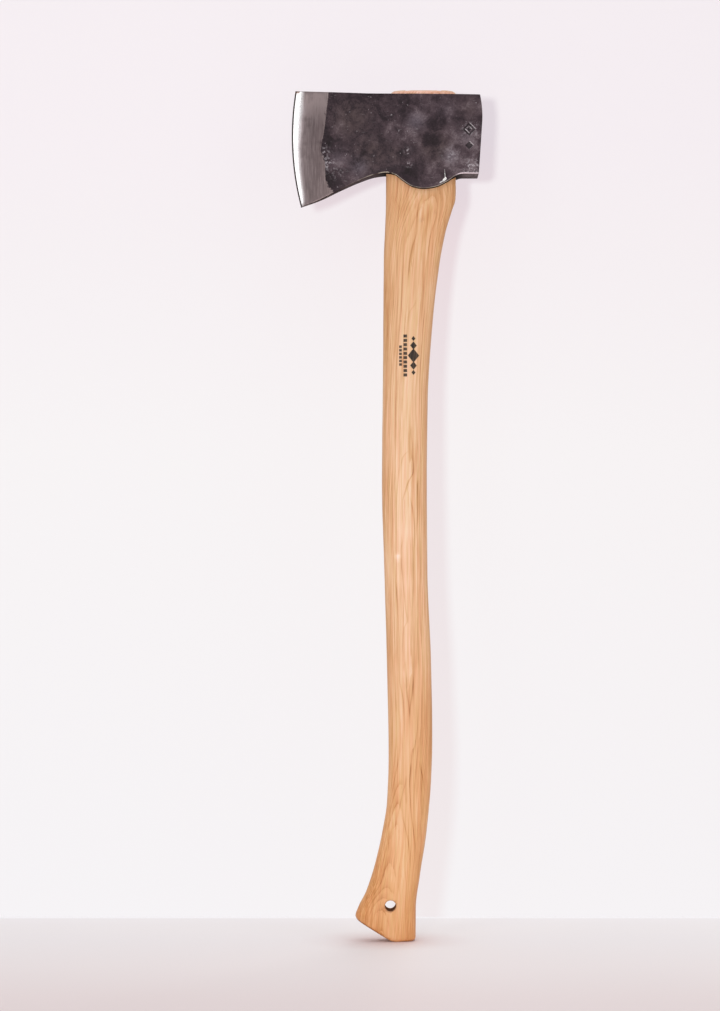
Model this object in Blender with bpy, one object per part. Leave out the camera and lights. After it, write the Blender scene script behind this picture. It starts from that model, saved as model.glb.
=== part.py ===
"""American-pattern felling axe, 790 mm long, built from the pieces it comes apart into on a bench.

A one-piece forged steel head, a curved hickory handle, the wooden wedge driven into the handle's kerf and
two barbed steel wedges driven across it. Metres, +Z up along the handle, cutting edge towards -X, poll
towards +X. The origin is the middle of the flat on the handle's butt.

Every surface is a loft between named curves, so the shape follows from the dimensions below.
"""

import math

import bmesh
import bpy

# Fit between pieces that touch on the real axe.
GAP = 0.0003

# Head: side profile. The edge is an arc, the top and underside are curves of height against x.
EDGE_X = -0.1026
EDGE_BELLY_Z = 0.7445
EDGE_RADIUS = 0.260
HEEL_Z = 0.6775
TOE_Z = 0.7867
TOP_LINE = [(-0.100, 0.7868), (-0.055, 0.7845), (-0.025, 0.7828), (0.005, 0.7820), (0.074, 0.7813)]
UNDERSIDE = [
    (-0.0940, 0.6775), (-0.0760, 0.6843), (-0.0570, 0.6938), (-0.0380, 0.7025), (-0.0240, 0.7073),
    (-0.0150, 0.7085), (-0.0070, 0.7067), (0.0010, 0.7007), (0.0100, 0.6951), (0.0200, 0.6933),
    (0.0300, 0.6946), (0.0410, 0.6995), (0.0500, 0.7053), (0.0560, 0.7070), (0.0580, 0.7070), (0.0740, 0.7070),
]
POLL_BOTTOM_Z = 0.7070
POLL_TOP_Z = 0.7813
POLL_FOOT_X = 0.0712
POLL_LEAN = 0.0636  # the poll's flat leans out by this much for each unit of height
POLL_FLAT_TOP_Z = 0.7555
POLL_CROWN_DROP = 0.0033

# Head: half thickness against distance back from the edge, and how much the cheeks bow between their rims.
HEAD_LENGTH = 0.1752
HALF_THICKNESS = [
    (0.0, 0.0), (0.0016, 0.0006), (0.0075, 0.0019), (0.0270, 0.0048), (0.0450, 0.0072), (0.0630, 0.0098),
    (0.0880, 0.0130), (0.1200, 0.0150), (0.1500, 0.0147), (0.1752, 0.0139),
]
CHEEK_BOW = [(0.0, 0.0), (0.027, 0.10), (0.063, 0.12), (0.088, 0.07), (0.120, 0.03), (0.1752, 0.02)]
RIM_CHAMFER = 0.0009
THIN_RIM_SHARE = 0.3  # near the edge the chamfer is this share of the half thickness

# Eye, as (height, front x, back x, half width): waisted, so that the wedged handle locks in it.
EYE = [
    (0.6985, -0.0151, 0.0508, 0.0104), (0.7105, -0.0149, 0.0506, 0.0103), (0.7435, -0.0128, 0.0502, 0.0098),
    (0.7815, -0.0110, 0.0510, 0.0109),
]
OVAL_POWER = 2.35  # exponent of the superellipse that the eye and the handle's sections follow

# Handle: front and back outline and half thickness, each against height.
HANDLE_FRONT = [
    (0.0165, -0.0424), (0.0225, -0.0432), (0.0315, -0.0402), (0.0455, -0.0332), (0.0735, -0.0243), (0.0985, -0.0186),
    (0.1285, -0.0140), (0.1685, -0.0125), (0.2585, -0.0142), (0.3485, -0.0167), (0.4185, -0.0186), (0.5185, -0.0177),
    (0.6285, -0.0168), (0.6785, -0.0149), (0.7035, -0.0147),
]
HANDLE_BACK = [
    (0.000, 0.0122), (0.012, 0.0124), (0.0315, 0.0126), (0.0585, 0.0161), (0.0985, 0.0223), (0.1485, 0.0268),
    (0.1885, 0.0279), (0.2585, 0.0267), (0.3385, 0.0236), (0.4185, 0.0231), (0.4985, 0.0240), (0.5725, 0.0288),
    (0.6285, 0.0356), (0.6565, 0.0412), (0.6745, 0.0466), (0.6865, 0.0502), (0.6955, 0.0505), (0.7035, 0.0500),
]
HANDLE_HALF = [
    (0.000, 0.0140), (0.0185, 0.0143), (0.0435, 0.0136), (0.0785, 0.0124), (0.1285, 0.0118), (0.2485, 0.0122),
    (0.3985, 0.0124), (0.5485, 0.0122), (0.6385, 0.0125), (0.6665, 0.0121), (0.6815, 0.0110), (0.6915, 0.0101),
    (0.6985, 0.0100),
]
HANDLE_TO_EYE_Z = (0.6945, 0.7065)  # between these heights the handle's section becomes the eye's

# Butt: a slanted sole behind the toe, then a flat that the axe stands on.
SOLE_RIDGE_X = -0.0094
SOLE_SLOPE = 0.594
SOLE_BLEND = 0.0040
SOLE_FADE_HEIGHT = 0.080
BUTT_CHAMFER = 0.0018
LANYARD_X = -0.0111
LANYARD_Z = 0.0330
LANYARD_RADIUS = 0.0050

# Top of the handle: it stands proud of the head and is rounded over, as (height, inset).
CROWN = [(0.7830, 0.0), (0.7849, 0.0009), (0.7861, 0.0026), (0.7869, 0.0060)]

# Wooden wedge and its kerf, both along the eye's length.
WEDGE_TIP_Z = 0.7355
WEDGE_TIP_HALF = 0.0007
WEDGE_TOP_HALF = 0.0034
KERF_CLEARANCE_BELOW = 0.0012

# Barbed steel wedges, driven across the wooden one.
STEEL_WEDGE_X = (0.0055, 0.0345)
STEEL_WEDGE_WIDTH = 0.0145
STEEL_WEDGE_TOP_Z = 0.7857
STEEL_WEDGE_LENGTH = 0.0260
STEEL_WEDGE_TOP_HALF = 0.0016
STEEL_WEDGE_TIP_HALF = 0.0003
STEEL_WEDGE_BARBS = 4
STEEL_WEDGE_BARB_DEPTH = 0.00025

# Fineness of the meshes.
HEAD_ROWS = 12
OVAL_SIDE_POINTS = 17
EYE_SIDE_POINTS = 25
HOLE_SEGMENTS = 40

MATERIALS = {  # name: (colour, roughness, metallic)
    "forged_steel": ((0.075, 0.062, 0.066), 0.52, 0.85),
    "hickory": ((0.76, 0.47, 0.24), 0.45, 0.0),
    "wedge_wood": ((0.80, 0.62, 0.40), 0.60, 0.0),
    "bright_steel": ((0.55, 0.54, 0.52), 0.35, 1.0),
}


def clear_scene():
    for obj in list(bpy.data.objects):
        bpy.data.objects.remove(obj)


def material(name):
    colour, roughness, metallic = MATERIALS[name]
    made = bpy.data.materials.get(name) or bpy.data.materials.new(name)
    made.use_nodes = True
    shader = made.node_tree.nodes["Principled BSDF"]
    shader.inputs["Base Color"].default_value = (*colour, 1.0)
    shader.inputs["Roughness"].default_value = roughness
    shader.inputs["Metallic"].default_value = metallic
    return made


def smooth_step(share):
    share = min(max(share, 0.0), 1.0)
    return share * share * (3 - 2 * share)


def curve_through(knots):
    """A smooth function through (place, value) knots: cubic spans that never overshoot, level past the ends."""
    places = [place for place, _ in knots]
    values = [value for _, value in knots]
    rises = [(values[i + 1] - values[i]) / (places[i + 1] - places[i]) for i in range(len(knots) - 1)]
    slopes = [rises[0]]
    for before, after in zip(rises, rises[1:]):
        level = before * after <= 0
        slopes.append(0.0 if level else 2 * before * after / (before + after))
    slopes.append(rises[-1])

    def at(place):
        if place <= places[0]:
            return values[0]
        if place >= places[-1]:
            return values[-1]
        i = max(k for k in range(len(places) - 1) if places[k] <= place)
        width = places[i + 1] - places[i]
        t = (place - places[i]) / width
        start = (2 * t**3 - 3 * t**2 + 1) * values[i] + (t**3 - 2 * t**2 + t) * width * slopes[i]
        end = (3 * t**2 - 2 * t**3) * values[i + 1] + (t**3 - t**2) * width * slopes[i + 1]
        return start + end

    return at


def new_object(name, points, faces, material_name=None):
    """A mesh object with its faces turned outwards. Points that coincide, as along the cutting edge, are joined."""
    mesh = bpy.data.meshes.new(name)
    mesh.from_pydata(points, [], faces)
    work = bmesh.new()
    work.from_mesh(mesh)
    bmesh.ops.remove_doubles(work, verts=work.verts, dist=1e-6)
    bmesh.ops.dissolve_degenerate(work, edges=work.edges, dist=1e-7)
    bmesh.ops.recalc_face_normals(work, faces=work.faces)
    work.to_mesh(mesh)
    work.free()
    mesh.shade_smooth()
    mesh.set_sharp_from_angle(angle=math.radians(32))
    obj = bpy.data.objects.new(name, mesh)
    bpy.context.scene.collection.objects.link(obj)
    if material_name:
        mesh.materials.append(material(material_name))
    return obj


def as_cutter(obj):
    obj.hide_render = True
    obj.display_type = "WIRE"
    return obj


def add_boolean(obj, other, operation):
    modifier = obj.modifiers.new(f"{operation.lower()}_{other.name}", "BOOLEAN")
    modifier.operation = operation
    modifier.object = other
    modifier.solver = "EXACT"


def two_sided_loft(stations):
    """Points and faces of a closed solid from stations of right-hand points (x, y >= 0, z), all equally many.

    Each station's points run from one rim to the other and are mirrored to the left, y < 0. Quads join
    neighbouring stations, and the first and last stations are closed by quads from right to left.
    """
    count = len(stations[0])
    points = []
    for station in stations:
        points += station
        points += [(x, -y, z) for x, y, z in station]

    def right(i, j):
        return 2 * count * i + j

    def left(i, j):
        return 2 * count * i + count + j

    faces = []
    for i in range(len(stations) - 1):
        for j in range(count - 1):
            faces.append((right(i, j), right(i + 1, j), right(i + 1, j + 1), right(i, j + 1)))
            faces.append((left(i, j), left(i, j + 1), left(i + 1, j + 1), left(i + 1, j)))
        for j in (0, count - 1):
            faces.append((right(i, j), left(i, j), left(i + 1, j), right(i + 1, j)))
    for i in (0, len(stations) - 1):
        for j in range(count - 1):
            faces.append((right(i, j), right(i, j + 1), left(i, j + 1), left(i, j)))
    return points, faces


def edge_x(z):
    return EDGE_X + EDGE_RADIUS - math.sqrt(EDGE_RADIUS**2 - (z - EDGE_BELLY_Z) ** 2)


def poll_x(z):
    crown = max(0.0, (z - POLL_FLAT_TOP_Z) / (POLL_TOP_Z - POLL_FLAT_TOP_Z))
    return POLL_FOOT_X + POLL_LEAN * (z - POLL_BOTTOM_Z) - POLL_CROWN_DROP * crown**2


def head_profile():
    """A function from (u, v), u from the edge to the poll and v from the underside to the top, to (x, z).

    It is the Coons patch of the four outlines: underside, top line, edge and poll.
    """
    underside = curve_through(UNDERSIDE)
    top_line = curve_through(TOP_LINE)

    def edge(v):
        z = HEEL_Z + (TOE_Z - HEEL_Z) * v
        return edge_x(z), z

    def poll(v):
        z = POLL_BOTTOM_Z + (POLL_TOP_Z - POLL_BOTTOM_Z) * v
        return poll_x(z), z

    def along(line, end, u):
        x = edge(end)[0] + (poll(end)[0] - edge(end)[0]) * u
        return x, line(x)

    def at(u, v):
        bottom, top = along(underside, 0.0, u), along(top_line, 1.0, u)
        point = []
        for k in (0, 1):
            ruled = (1 - v) * bottom[k] + v * top[k] + (1 - u) * edge(v)[k] + u * poll(v)[k]
            corners = (1 - u) * ((1 - v) * edge(0)[k] + v * edge(1)[k])
            corners += u * ((1 - v) * poll(0)[k] + v * poll(1)[k])
            point.append(ruled - corners)
        return tuple(point)

    return at


def head_stations():
    """Right-hand sections of the head from the cutting edge back to the poll."""
    profile = head_profile()
    half_at = curve_through(HALF_THICKNESS)
    bow_at = curve_through(CHEEK_BOW)
    near_edge = [0.0, 0.0016, 0.0045, 0.0075, 0.0130, 0.0200, 0.0270]
    steps_back = 36
    span = HEAD_LENGTH - near_edge[-1]
    distances = near_edge + [near_edge[-1] + span * (k + 1) / steps_back for k in range(steps_back)]

    def section(distance, inset=0.0, setback=0.0):
        u = distance / HEAD_LENGTH
        points = []
        for row in range(HEAD_ROWS + 1):
            v = row / HEAD_ROWS
            x, z = profile(u, v)
            half = half_at(distance) * (1 - bow_at(distance) * (2 * v - 1) ** 2)
            rim = min(RIM_CHAMFER, THIN_RIM_SHARE * half)
            if row == 0:
                points.append((x - setback, half - rim - inset, z + inset))
                z += rim + inset
            if row == HEAD_ROWS:
                z -= rim + inset
            points.append((x - setback, half - inset, z))
            if row == HEAD_ROWS:
                points.append((x - setback, half - rim - inset, z + rim))
        return points

    stations = [section(distance) for distance in distances[:-1]]
    stations.append(section(HEAD_LENGTH, setback=RIM_CHAMFER))
    stations.append(section(HEAD_LENGTH, inset=RIM_CHAMFER))
    return stations


def oval(front, back, half, count):
    """Right-hand half of an upright superellipse, from its front point to its back point, as (x, y)."""
    middle, reach = (front + back) / 2, (back - front) / 2
    power = 2 / OVAL_POWER
    points = []
    for k in range(count):
        turn = math.pi * (1 - k / (count - 1))
        cos, sin = math.cos(turn), max(0.0, math.sin(turn))
        if k in (0, count - 1):
            sin = 0.0
        points.append((middle + reach * math.copysign(abs(cos) ** power, cos), half * sin**power))
    return points


def eye_section():
    """A function from height to the eye's (front x, back x, half width)."""
    curves = [curve_through([(knot[0], knot[k]) for knot in EYE]) for k in (1, 2, 3)]
    return lambda z: tuple(curve(z) for curve in curves)


def make_eye_cutter():
    section = eye_section()
    below, above = 0.6600, 0.8100
    heights = [below, EYE[0][0]]
    heights += [EYE[0][0] + (EYE[-1][0] - EYE[0][0]) * k / 10 for k in range(1, 11)] + [above]
    stations = []
    for z in heights:
        stations.append([(x, y, z) for x, y in oval(*section(z), EYE_SIDE_POINTS)])
    return as_cutter(new_object("eye_cutter", *two_sided_loft(stations)))


def handle_section():
    """A function from height to the handle's (front x, back x, half thickness)."""
    front, back, half = (curve_through(knots) for knots in (HANDLE_FRONT, HANDLE_BACK, HANDLE_HALF))
    eye = eye_section()
    low, high = HANDLE_TO_EYE_Z

    def at(z):
        share = smooth_step((z - low) / (high - low))
        eye_front, eye_back, eye_half = eye(z)
        fitted = (eye_front + GAP, eye_back - GAP, eye_half - GAP)
        free = (front(z), back(z), half(z))
        return tuple((1 - share) * a + share * b for a, b in zip(free, fitted))

    return at


def sole_height(x):
    """Height of the butt's underside: nought on the flat, rising along the slanted sole towards the toe."""
    run = SOLE_RIDGE_X - x
    if run <= -SOLE_BLEND:
        return 0.0
    if run >= SOLE_BLEND:
        return SOLE_SLOPE * run
    return SOLE_SLOPE * (run + SOLE_BLEND) ** 2 / (4 * SOLE_BLEND)


def bent_ring(section, height, inset):
    """One ring of the handle. Rings near the butt follow the sole, and they flatten out further up."""
    fade = 1 - smooth_step(height / SOLE_FADE_HEIGHT)
    middle = [(x, height) for x, _ in oval(*section(height), OVAL_SIDE_POINTS)]
    ring = []
    for k, (x, z) in enumerate(middle):
        y = 0.0
        for _ in range(12):
            z = height + fade * sole_height(x)
            front, back, half = section(z)
            x, y = oval(front + inset, back - inset, half - inset, OVAL_SIDE_POINTS)[k]
        ring.append((x, y, z))
    return ring


def handle_rings(lowest):
    """The handle's rings from the height asked for up to its rounded top."""
    section = handle_section()
    rings = []
    if lowest == 0.0:
        rings.append(bent_ring(section, 0.0, BUTT_CHAMFER))
        rings.append(bent_ring(section, BUTT_CHAMFER, 0.0))
    heights = [0.006, 0.012, 0.018, 0.025, 0.033, 0.042, 0.052, 0.064, 0.078, 0.095, 0.113]
    heights += [0.135 + 0.025 * k for k in range(18)]
    heights += [0.580, 0.600, 0.620, 0.637, 0.651, 0.663, 0.673, 0.681, 0.688, 0.694, 0.700, 0.708]
    heights += [0.7205, 0.733, 0.7455, 0.758, 0.770, 0.7775]
    rings += [bent_ring(section, z, 0.0) for z in heights if z > lowest]
    for z, inset in CROWN:
        front, back, half = section(z)
        rings.append([(x, y, z) for x, y in oval(front + inset, back - inset, half - inset, OVAL_SIDE_POINTS)])
    return rings


def extruded(name, outline, width, material_name=None):
    """A prism: outline points (x, z) carried across y, centred on y = 0."""
    count = len(outline)
    points = [(x, side * width / 2, z) for side in (-1, 1) for x, z in outline]
    faces = [tuple(range(count)), tuple(range(2 * count - 1, count - 1, -1))]
    faces += [(k, (k + 1) % count, count + (k + 1) % count, count + k) for k in range(count)]
    return new_object(name, points, faces, material_name)


def wedge_slab(name, grown, deeper, top):
    """The wooden wedge's tapering slab, long enough to run out of the handle at both ends."""
    slope = (WEDGE_TOP_HALF - WEDGE_TIP_HALF) / (CROWN[-1][0] - WEDGE_TIP_Z)
    tip_z = WEDGE_TIP_Z - deeper
    tip_half = WEDGE_TIP_HALF - slope * deeper + grown
    top_half = WEDGE_TIP_HALF + slope * (top - WEDGE_TIP_Z) + grown
    front, back = -0.030, 0.070
    section = [(-tip_half, tip_z), (tip_half, tip_z), (top_half, top), (-top_half, top)]
    points = [(x, y, z) for x in (front, back) for y, z in section]
    faces = [(0, 3, 2, 1), (4, 5, 6, 7), (0, 1, 5, 4), (1, 2, 6, 5), (2, 3, 7, 6), (3, 0, 4, 7)]
    return new_object(name, points, faces, "wedge_wood")


def steel_wedge(name, x):
    """A barbed steel wedge: each face steps back in at every barb, so that it won't work out again."""
    side = []
    for k in range(STEEL_WEDGE_BARBS):
        for share, step in ((k, 0.0), (k + 1, STEEL_WEDGE_BARB_DEPTH)):
            drop = share / STEEL_WEDGE_BARBS
            taper = STEEL_WEDGE_TOP_HALF + (STEEL_WEDGE_TIP_HALF - STEEL_WEDGE_TOP_HALF) * drop
            half = max(STEEL_WEDGE_TIP_HALF, taper - step)
            side.append((half, STEEL_WEDGE_TOP_Z - STEEL_WEDGE_LENGTH * drop))
    outline = [(x + half, z) for half, z in side] + [(x - half, z) for half, z in reversed(side)]
    return extruded(name, outline, STEEL_WEDGE_WIDTH, "bright_steel")


def steel_slot(name, x):
    """The space that a steel wedge has forced open, from its tip to above the handle."""
    bottom = STEEL_WEDGE_TOP_Z - STEEL_WEDGE_LENGTH - GAP
    top = 0.802
    taper = (STEEL_WEDGE_TOP_HALF - STEEL_WEDGE_TIP_HALF) / STEEL_WEDGE_LENGTH
    tip_half = STEEL_WEDGE_TIP_HALF + 2 * GAP
    top_half = tip_half + taper * (top - bottom)
    outline = [(x - tip_half, bottom), (x + tip_half, bottom), (x + top_half, top), (x - top_half, top)]
    return as_cutter(extruded(name, outline, STEEL_WEDGE_WIDTH + 2 * GAP))


def lanyard_drill():
    """A round bar across the butt, longer than the handle is thick."""
    length = 0.060
    ring = []
    for k in range(HOLE_SEGMENTS):
        turn = 2 * math.pi * k / HOLE_SEGMENTS
        ring.append((LANYARD_X + LANYARD_RADIUS * math.cos(turn), LANYARD_Z + LANYARD_RADIUS * math.sin(turn)))
    return as_cutter(extruded("lanyard_drill", ring, length))


def make_head():
    head = new_object("axe_head", *two_sided_loft(head_stations()), "forged_steel")
    add_boolean(head, make_eye_cutter(), "DIFFERENCE")
    return head


def make_handle_and_wedges():
    handle = new_object("handle", *two_sided_loft(handle_rings(0.0)), "hickory")
    wooden_wedge = wedge_slab("wooden_wedge", 0.0, 0.0, CROWN[-1][0] + 0.005)
    kerf = as_cutter(wedge_slab("kerf_cutter", GAP, KERF_CLEARANCE_BELOW, 0.800))
    core = as_cutter(new_object("wedge_limits", *two_sided_loft(handle_rings(0.708))))
    add_boolean(wooden_wedge, core, "INTERSECT")
    steels = []
    for place, x in zip(("front", "rear"), STEEL_WEDGE_X):
        steels.append(steel_wedge(f"steel_wedge_{place}", x))
        slot = steel_slot(f"steel_slot_{place}", x)
        add_boolean(kerf, slot, "UNION")
        add_boolean(wooden_wedge, slot, "DIFFERENCE")
    add_boolean(handle, kerf, "DIFFERENCE")
    add_boolean(handle, lanyard_drill(), "DIFFERENCE")
    return [handle, wooden_wedge, *steels]


def main():
    clear_scene()
    pieces = [make_head(), *make_handle_and_wedges()]
    axe = bpy.data.objects.new("felling_axe", None)
    bpy.context.scene.collection.objects.link(axe)
    for piece in pieces:
        piece.parent = axe


main()
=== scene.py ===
"""Looks of the felling axe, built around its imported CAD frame.

The head and the handle are rebuilt finely from the same curves as the solids and stand for them. The wedges
keep their solids and get a bevel and a finish. The frame is the CAD's: metres, +Z up the handle, the cutting
edge towards -X and the side that is seen first towards -Y.
"""

import math

import bmesh
import bpy
import numpy as np
from mathutils import Euler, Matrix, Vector, noise


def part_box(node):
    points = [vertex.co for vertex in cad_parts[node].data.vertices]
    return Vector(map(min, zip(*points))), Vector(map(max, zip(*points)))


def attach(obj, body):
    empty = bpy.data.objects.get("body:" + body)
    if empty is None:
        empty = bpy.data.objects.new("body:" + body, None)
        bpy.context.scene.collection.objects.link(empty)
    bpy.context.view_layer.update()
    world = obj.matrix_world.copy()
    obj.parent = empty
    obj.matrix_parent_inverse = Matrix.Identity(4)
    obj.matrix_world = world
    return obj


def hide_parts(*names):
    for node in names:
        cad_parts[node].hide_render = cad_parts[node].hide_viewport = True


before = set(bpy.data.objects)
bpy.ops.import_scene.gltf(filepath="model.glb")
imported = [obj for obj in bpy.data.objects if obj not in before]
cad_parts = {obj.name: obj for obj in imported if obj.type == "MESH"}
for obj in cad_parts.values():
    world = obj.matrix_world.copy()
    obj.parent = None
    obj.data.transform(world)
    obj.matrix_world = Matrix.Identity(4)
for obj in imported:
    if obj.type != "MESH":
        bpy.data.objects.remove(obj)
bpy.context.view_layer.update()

MM = 0.001

# ---------------------------------------------------------------- head outlines, as (x, height) in metres
EDGE_X, EDGE_BELLY_Z, EDGE_RADIUS = -0.1026, 0.7445, 0.26
HEEL_Z, TOE_Z = 0.6775, 0.7867
TOP_LINE = [(-0.1, 0.7868), (-0.055, 0.7845), (-0.025, 0.7828), (0.005, 0.782), (0.074, 0.7813)]
UNDERSIDE = [
    (-0.094, 0.6775), (-0.076, 0.6843), (-0.057, 0.6938), (-0.038, 0.7025), (-0.024, 0.7073),
    (-0.015, 0.7085), (-0.007, 0.7067), (0.001, 0.7007), (0.01, 0.6951), (0.02, 0.6933), (0.03, 0.6946),
    (0.041, 0.6995), (0.05, 0.7053), (0.056, 0.707), (0.058, 0.707), (0.074, 0.707),
]
POLL_BOTTOM_Z, POLL_TOP_Z, POLL_FLAT_TOP_Z = 0.707, 0.7813, 0.7555
POLL_FOOT_X, POLL_LEAN, POLL_CROWN_DROP = 0.0712, 0.0636, 0.0033
HEAD_LENGTH = 0.1752
HALF_THICKNESS = [  # against distance back from the edge: micro bevel, honed band, ground bevel, cheeks, poll
    (0.0, 0.0), (0.0016, 0.0006), (0.0075, 0.0019), (0.027, 0.0048), (0.045, 0.0072), (0.063, 0.0098),
    (0.088, 0.013), (0.12, 0.015), (0.15, 0.0147), (0.1752, 0.0139),
]
CHEEK_BOW = [(0.0, 0.0), (0.027, 0.1), (0.063, 0.12), (0.088, 0.07), (0.12, 0.03), (0.1752, 0.02)]
RIM_RADIUS = 0.0009
RIM_SHINE = [  # how far the lower rim is worn bright, against x
    (-0.06, 0.0), (-0.045, 0.15), (-0.029, 0.5), (-0.018, 0.95), (-0.004, 1.0), (0.006, 0.75),
    (0.014, 0.45), (0.022, 0.25), (0.03, 0.55), (0.04, 0.8), (0.049, 0.35), (0.054, 1.0), (0.074, 1.0),
]
THIN_RIM_SHARE = 0.3
FINE_ZONE, FINE_STEPS, COARSE_STEPS = 0.027, 46, 166  # closer rings near the edge
HEAD_ROWS, HEAD_ACROSS, HEAD_RIM_STEPS = 120, 8, 4
EYE = [  # height, front x, back x, half width
    (0.6985, -0.0151, 0.0508, 0.0104), (0.7105, -0.0149, 0.0506, 0.0103), (0.7435, -0.0128, 0.0502, 0.0098),
    (0.7815, -0.011, 0.051, 0.0109),
]
EYE_CUT_Z = (0.66, 0.81)
OVAL_POWER = 2.35

# Where one finish of the steel gives way to the next, as (height, x).
HONED_LIMIT = [
    (0.6775, -0.0925), (0.683, -0.0906), (0.689, -0.091), (0.7, -0.0923), (0.711, -0.0938),
    (0.723, -0.0946), (0.734, -0.0952), (0.745, -0.0943), (0.756, -0.0937), (0.768, -0.0919),
    (0.779, -0.0912), (0.787, -0.0906),
]
SCALE_LIMIT = [
    (0.68, -0.06), (0.6935, -0.0649), (0.6975, -0.0682), (0.7055, -0.0708), (0.7165, -0.0715),
    (0.7245, -0.0732), (0.7305, -0.0755), (0.7375, -0.0745), (0.7485, -0.0724), (0.7665, -0.0703),
    (0.787, -0.0682),
]

# Soft patches in the dark scale, as (x, height, radius, strength).
COOL_PATCHES = [
    (-0.04, 0.7158, 0.0075, 1.0), (0.013, 0.756, 0.008, 0.8), (0.0445, 0.724, 0.0065, 0.85),
    (0.06, 0.741, 0.007, 0.35), (-0.06, 0.724, 0.008, 0.4), (0.04, 0.765, 0.009, 0.25),
]
WARM_PATCHES = [
    (-0.047, 0.761, 0.017, 0.7), (-0.028, 0.726, 0.013, 0.75), (0.031, 0.732, 0.013, 0.7),
    (-0.006, 0.724, 0.009, 0.4), (0.062, 0.768, 0.008, 0.3),
]
DARK_PATCHES = [
    (0.03, 0.75, 0.0085, 0.8), (-0.017, 0.762, 0.0085, 0.65), (-0.037, 0.729, 0.006, 0.6),
    (-0.062, 0.77, 0.008, 0.45), (0.008, 0.733, 0.006, 0.5), (0.02, 0.715, 0.009, 0.45),
    (-0.06, 0.702, 0.008, 0.5),
]
SPECK_PATCHES = [
    (0.0655, 0.7125, 0.0068, 1.2), (0.045, 0.724, 0.007, 0.4), (-0.069, 0.7175, 0.0055, 0.7),
    (-0.072, 0.729, 0.0045, 0.6), (0.0052, 0.728, 0.0028, 0.6), (0.006, 0.716, 0.0026, 0.6),
    (0.064, 0.747, 0.008, 0.5), (-0.06, 0.71, 0.006, 0.3),
]
FORGED_RELIEF = [(0.00022, 38, 1), (0.00012, 95, 2), (0.000035, 330, 5)]  # height, noise scale, seed
NICK_STROKES = [  # a nick on the rear of the near lug, a real dent painted near white as a painted glint: start, end, half width, strength
    ((0.0385, 0.701), (0.04, 0.7026), 0.0009, 0.9), ((0.035, 0.6987), (0.0385, 0.7008), 0.0003, 0.7),
    ((0.04, 0.7028), (0.0394, 0.7075), 0.0001, 0.7), ((0.0394, 0.7075), (0.0393, 0.711), 0.0001, 0.45),
]
NICK_BOX = ((0.032, 0.0425), (0.695, 0.713))

# The struck mark on the near cheek, as x and height: a diamond in a diamond, and a full one below them.
STAMP_BOX = ((0.055, 0.0692), (0.727, 0.756))
STAMP_MIDDLE = (0.0621, 0.7485)
STAMP_REACH, STAMP_INNER_REACH = 0.005, 0.0014
STAMP_DROP, STAMP_LOWER_REACH = 0.015, 0.003
STAMP_LINE_HALF, STAMP_SOFTNESS = 0.00045, 0.0005
STAMP_DEPTH, STAMP_BURR, NICK_DEPTH, SCALE_LIFT = 0.0004, 0.0001, 0.0004, 0.0001

# ---------------------------------------------------------------- handle outlines, against height
HANDLE_FRONT = [
    (0.0165, -0.0424), (0.0225, -0.0432), (0.0315, -0.0402), (0.0455, -0.0332), (0.0735, -0.0243),
    (0.0985, -0.0186), (0.1285, -0.014), (0.1685, -0.0125), (0.2585, -0.0142), (0.3485, -0.0167),
    (0.4185, -0.0186), (0.5185, -0.0177), (0.6285, -0.0168), (0.6785, -0.0149), (0.7035, -0.0147),
]
HANDLE_BACK = [
    (0.0, 0.0122), (0.012, 0.0124), (0.0315, 0.0126), (0.0585, 0.0161), (0.0985, 0.0223), (0.1485, 0.0268),
    (0.1885, 0.0279), (0.2585, 0.0267), (0.3385, 0.0236), (0.4185, 0.0231), (0.4985, 0.024),
    (0.5725, 0.0288), (0.6285, 0.0356), (0.6565, 0.0412), (0.6745, 0.0466), (0.6865, 0.0502),
    (0.6955, 0.0505), (0.7035, 0.05),
]
HANDLE_HALF = [
    (0.0, 0.014), (0.0185, 0.0143), (0.0435, 0.0136), (0.0785, 0.0124), (0.1285, 0.0118), (0.2485, 0.0122),
    (0.3985, 0.0124), (0.5485, 0.0122), (0.6385, 0.0125), (0.6665, 0.0121), (0.6815, 0.011),
    (0.6915, 0.0101), (0.6985, 0.01),
]
HANDLE_TO_EYE_Z = (0.6945, 0.7065)
HANDLE_SIDES, END_STEPS, RING_STEP = 112, 6, 0.0019
FIT_GAP, SPOKESHAVE_DEPTH = 0.0003, 0.0001
SOLE_RIDGE_X, SOLE_SLOPE, SOLE_BLEND, SOLE_FADE_HEIGHT = -0.0094, 0.594, 0.004, 0.08
BUTT_EDGE = [
    (0.0, 0.002), (0.0003, 0.0014), (0.001, 0.0008), (0.0019, 0.0003), (0.0028, 0.00005), (0.0036, 0.0),
]
LANYARD_X, LANYARD_Z, LANYARD_RADIUS = -0.0111, 0.033, 0.005
CROWN = [
    (0.783, 0.0), (0.7841, 0.0004), (0.7852, 0.0012), (0.7861, 0.0026), (0.7867, 0.005), (0.7869, 0.008),
]
CROWN_RISE = 0.0002
KERF_TIP_Z, KERF_TIP_HALF, KERF_TOP_HALF = 0.7343, 0.00094, 0.0037
SLOT_X, SLOT_WIDTH, SLOT_BOTTOM_Z, SLOT_TOP_Z = (0.0055, 0.0345), 0.0151, 0.7594, 0.801
SLOT_TIP_HALF, SLOT_TOP_HALF = 0.0009, 0.00285

# The burned-in mark: diamonds as (height, reach), broken rules as (x, low, high, half width, step).
BRAND_BOX = ((-0.0045, 0.0165), (0.514, 0.563))
BRAND_DEPTH, BRAND_DIAMOND_X, BRAND_SQUASH, BRAND_DASH_SHARE = 0.00008, 0.0104, 0.8, 0.36
BRAND_DIAMONDS = [(0.5385, 0.0053), (0.5292, 0.0031), (0.5478, 0.0031), (0.5228, 0.0019), (0.5542, 0.0019)]
BRAND_RULES = [(0.0028, 0.5185, 0.5585, 0.0017, 0.004), (-0.0016, 0.5285, 0.5485, 0.0013, 0.0033)]

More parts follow.
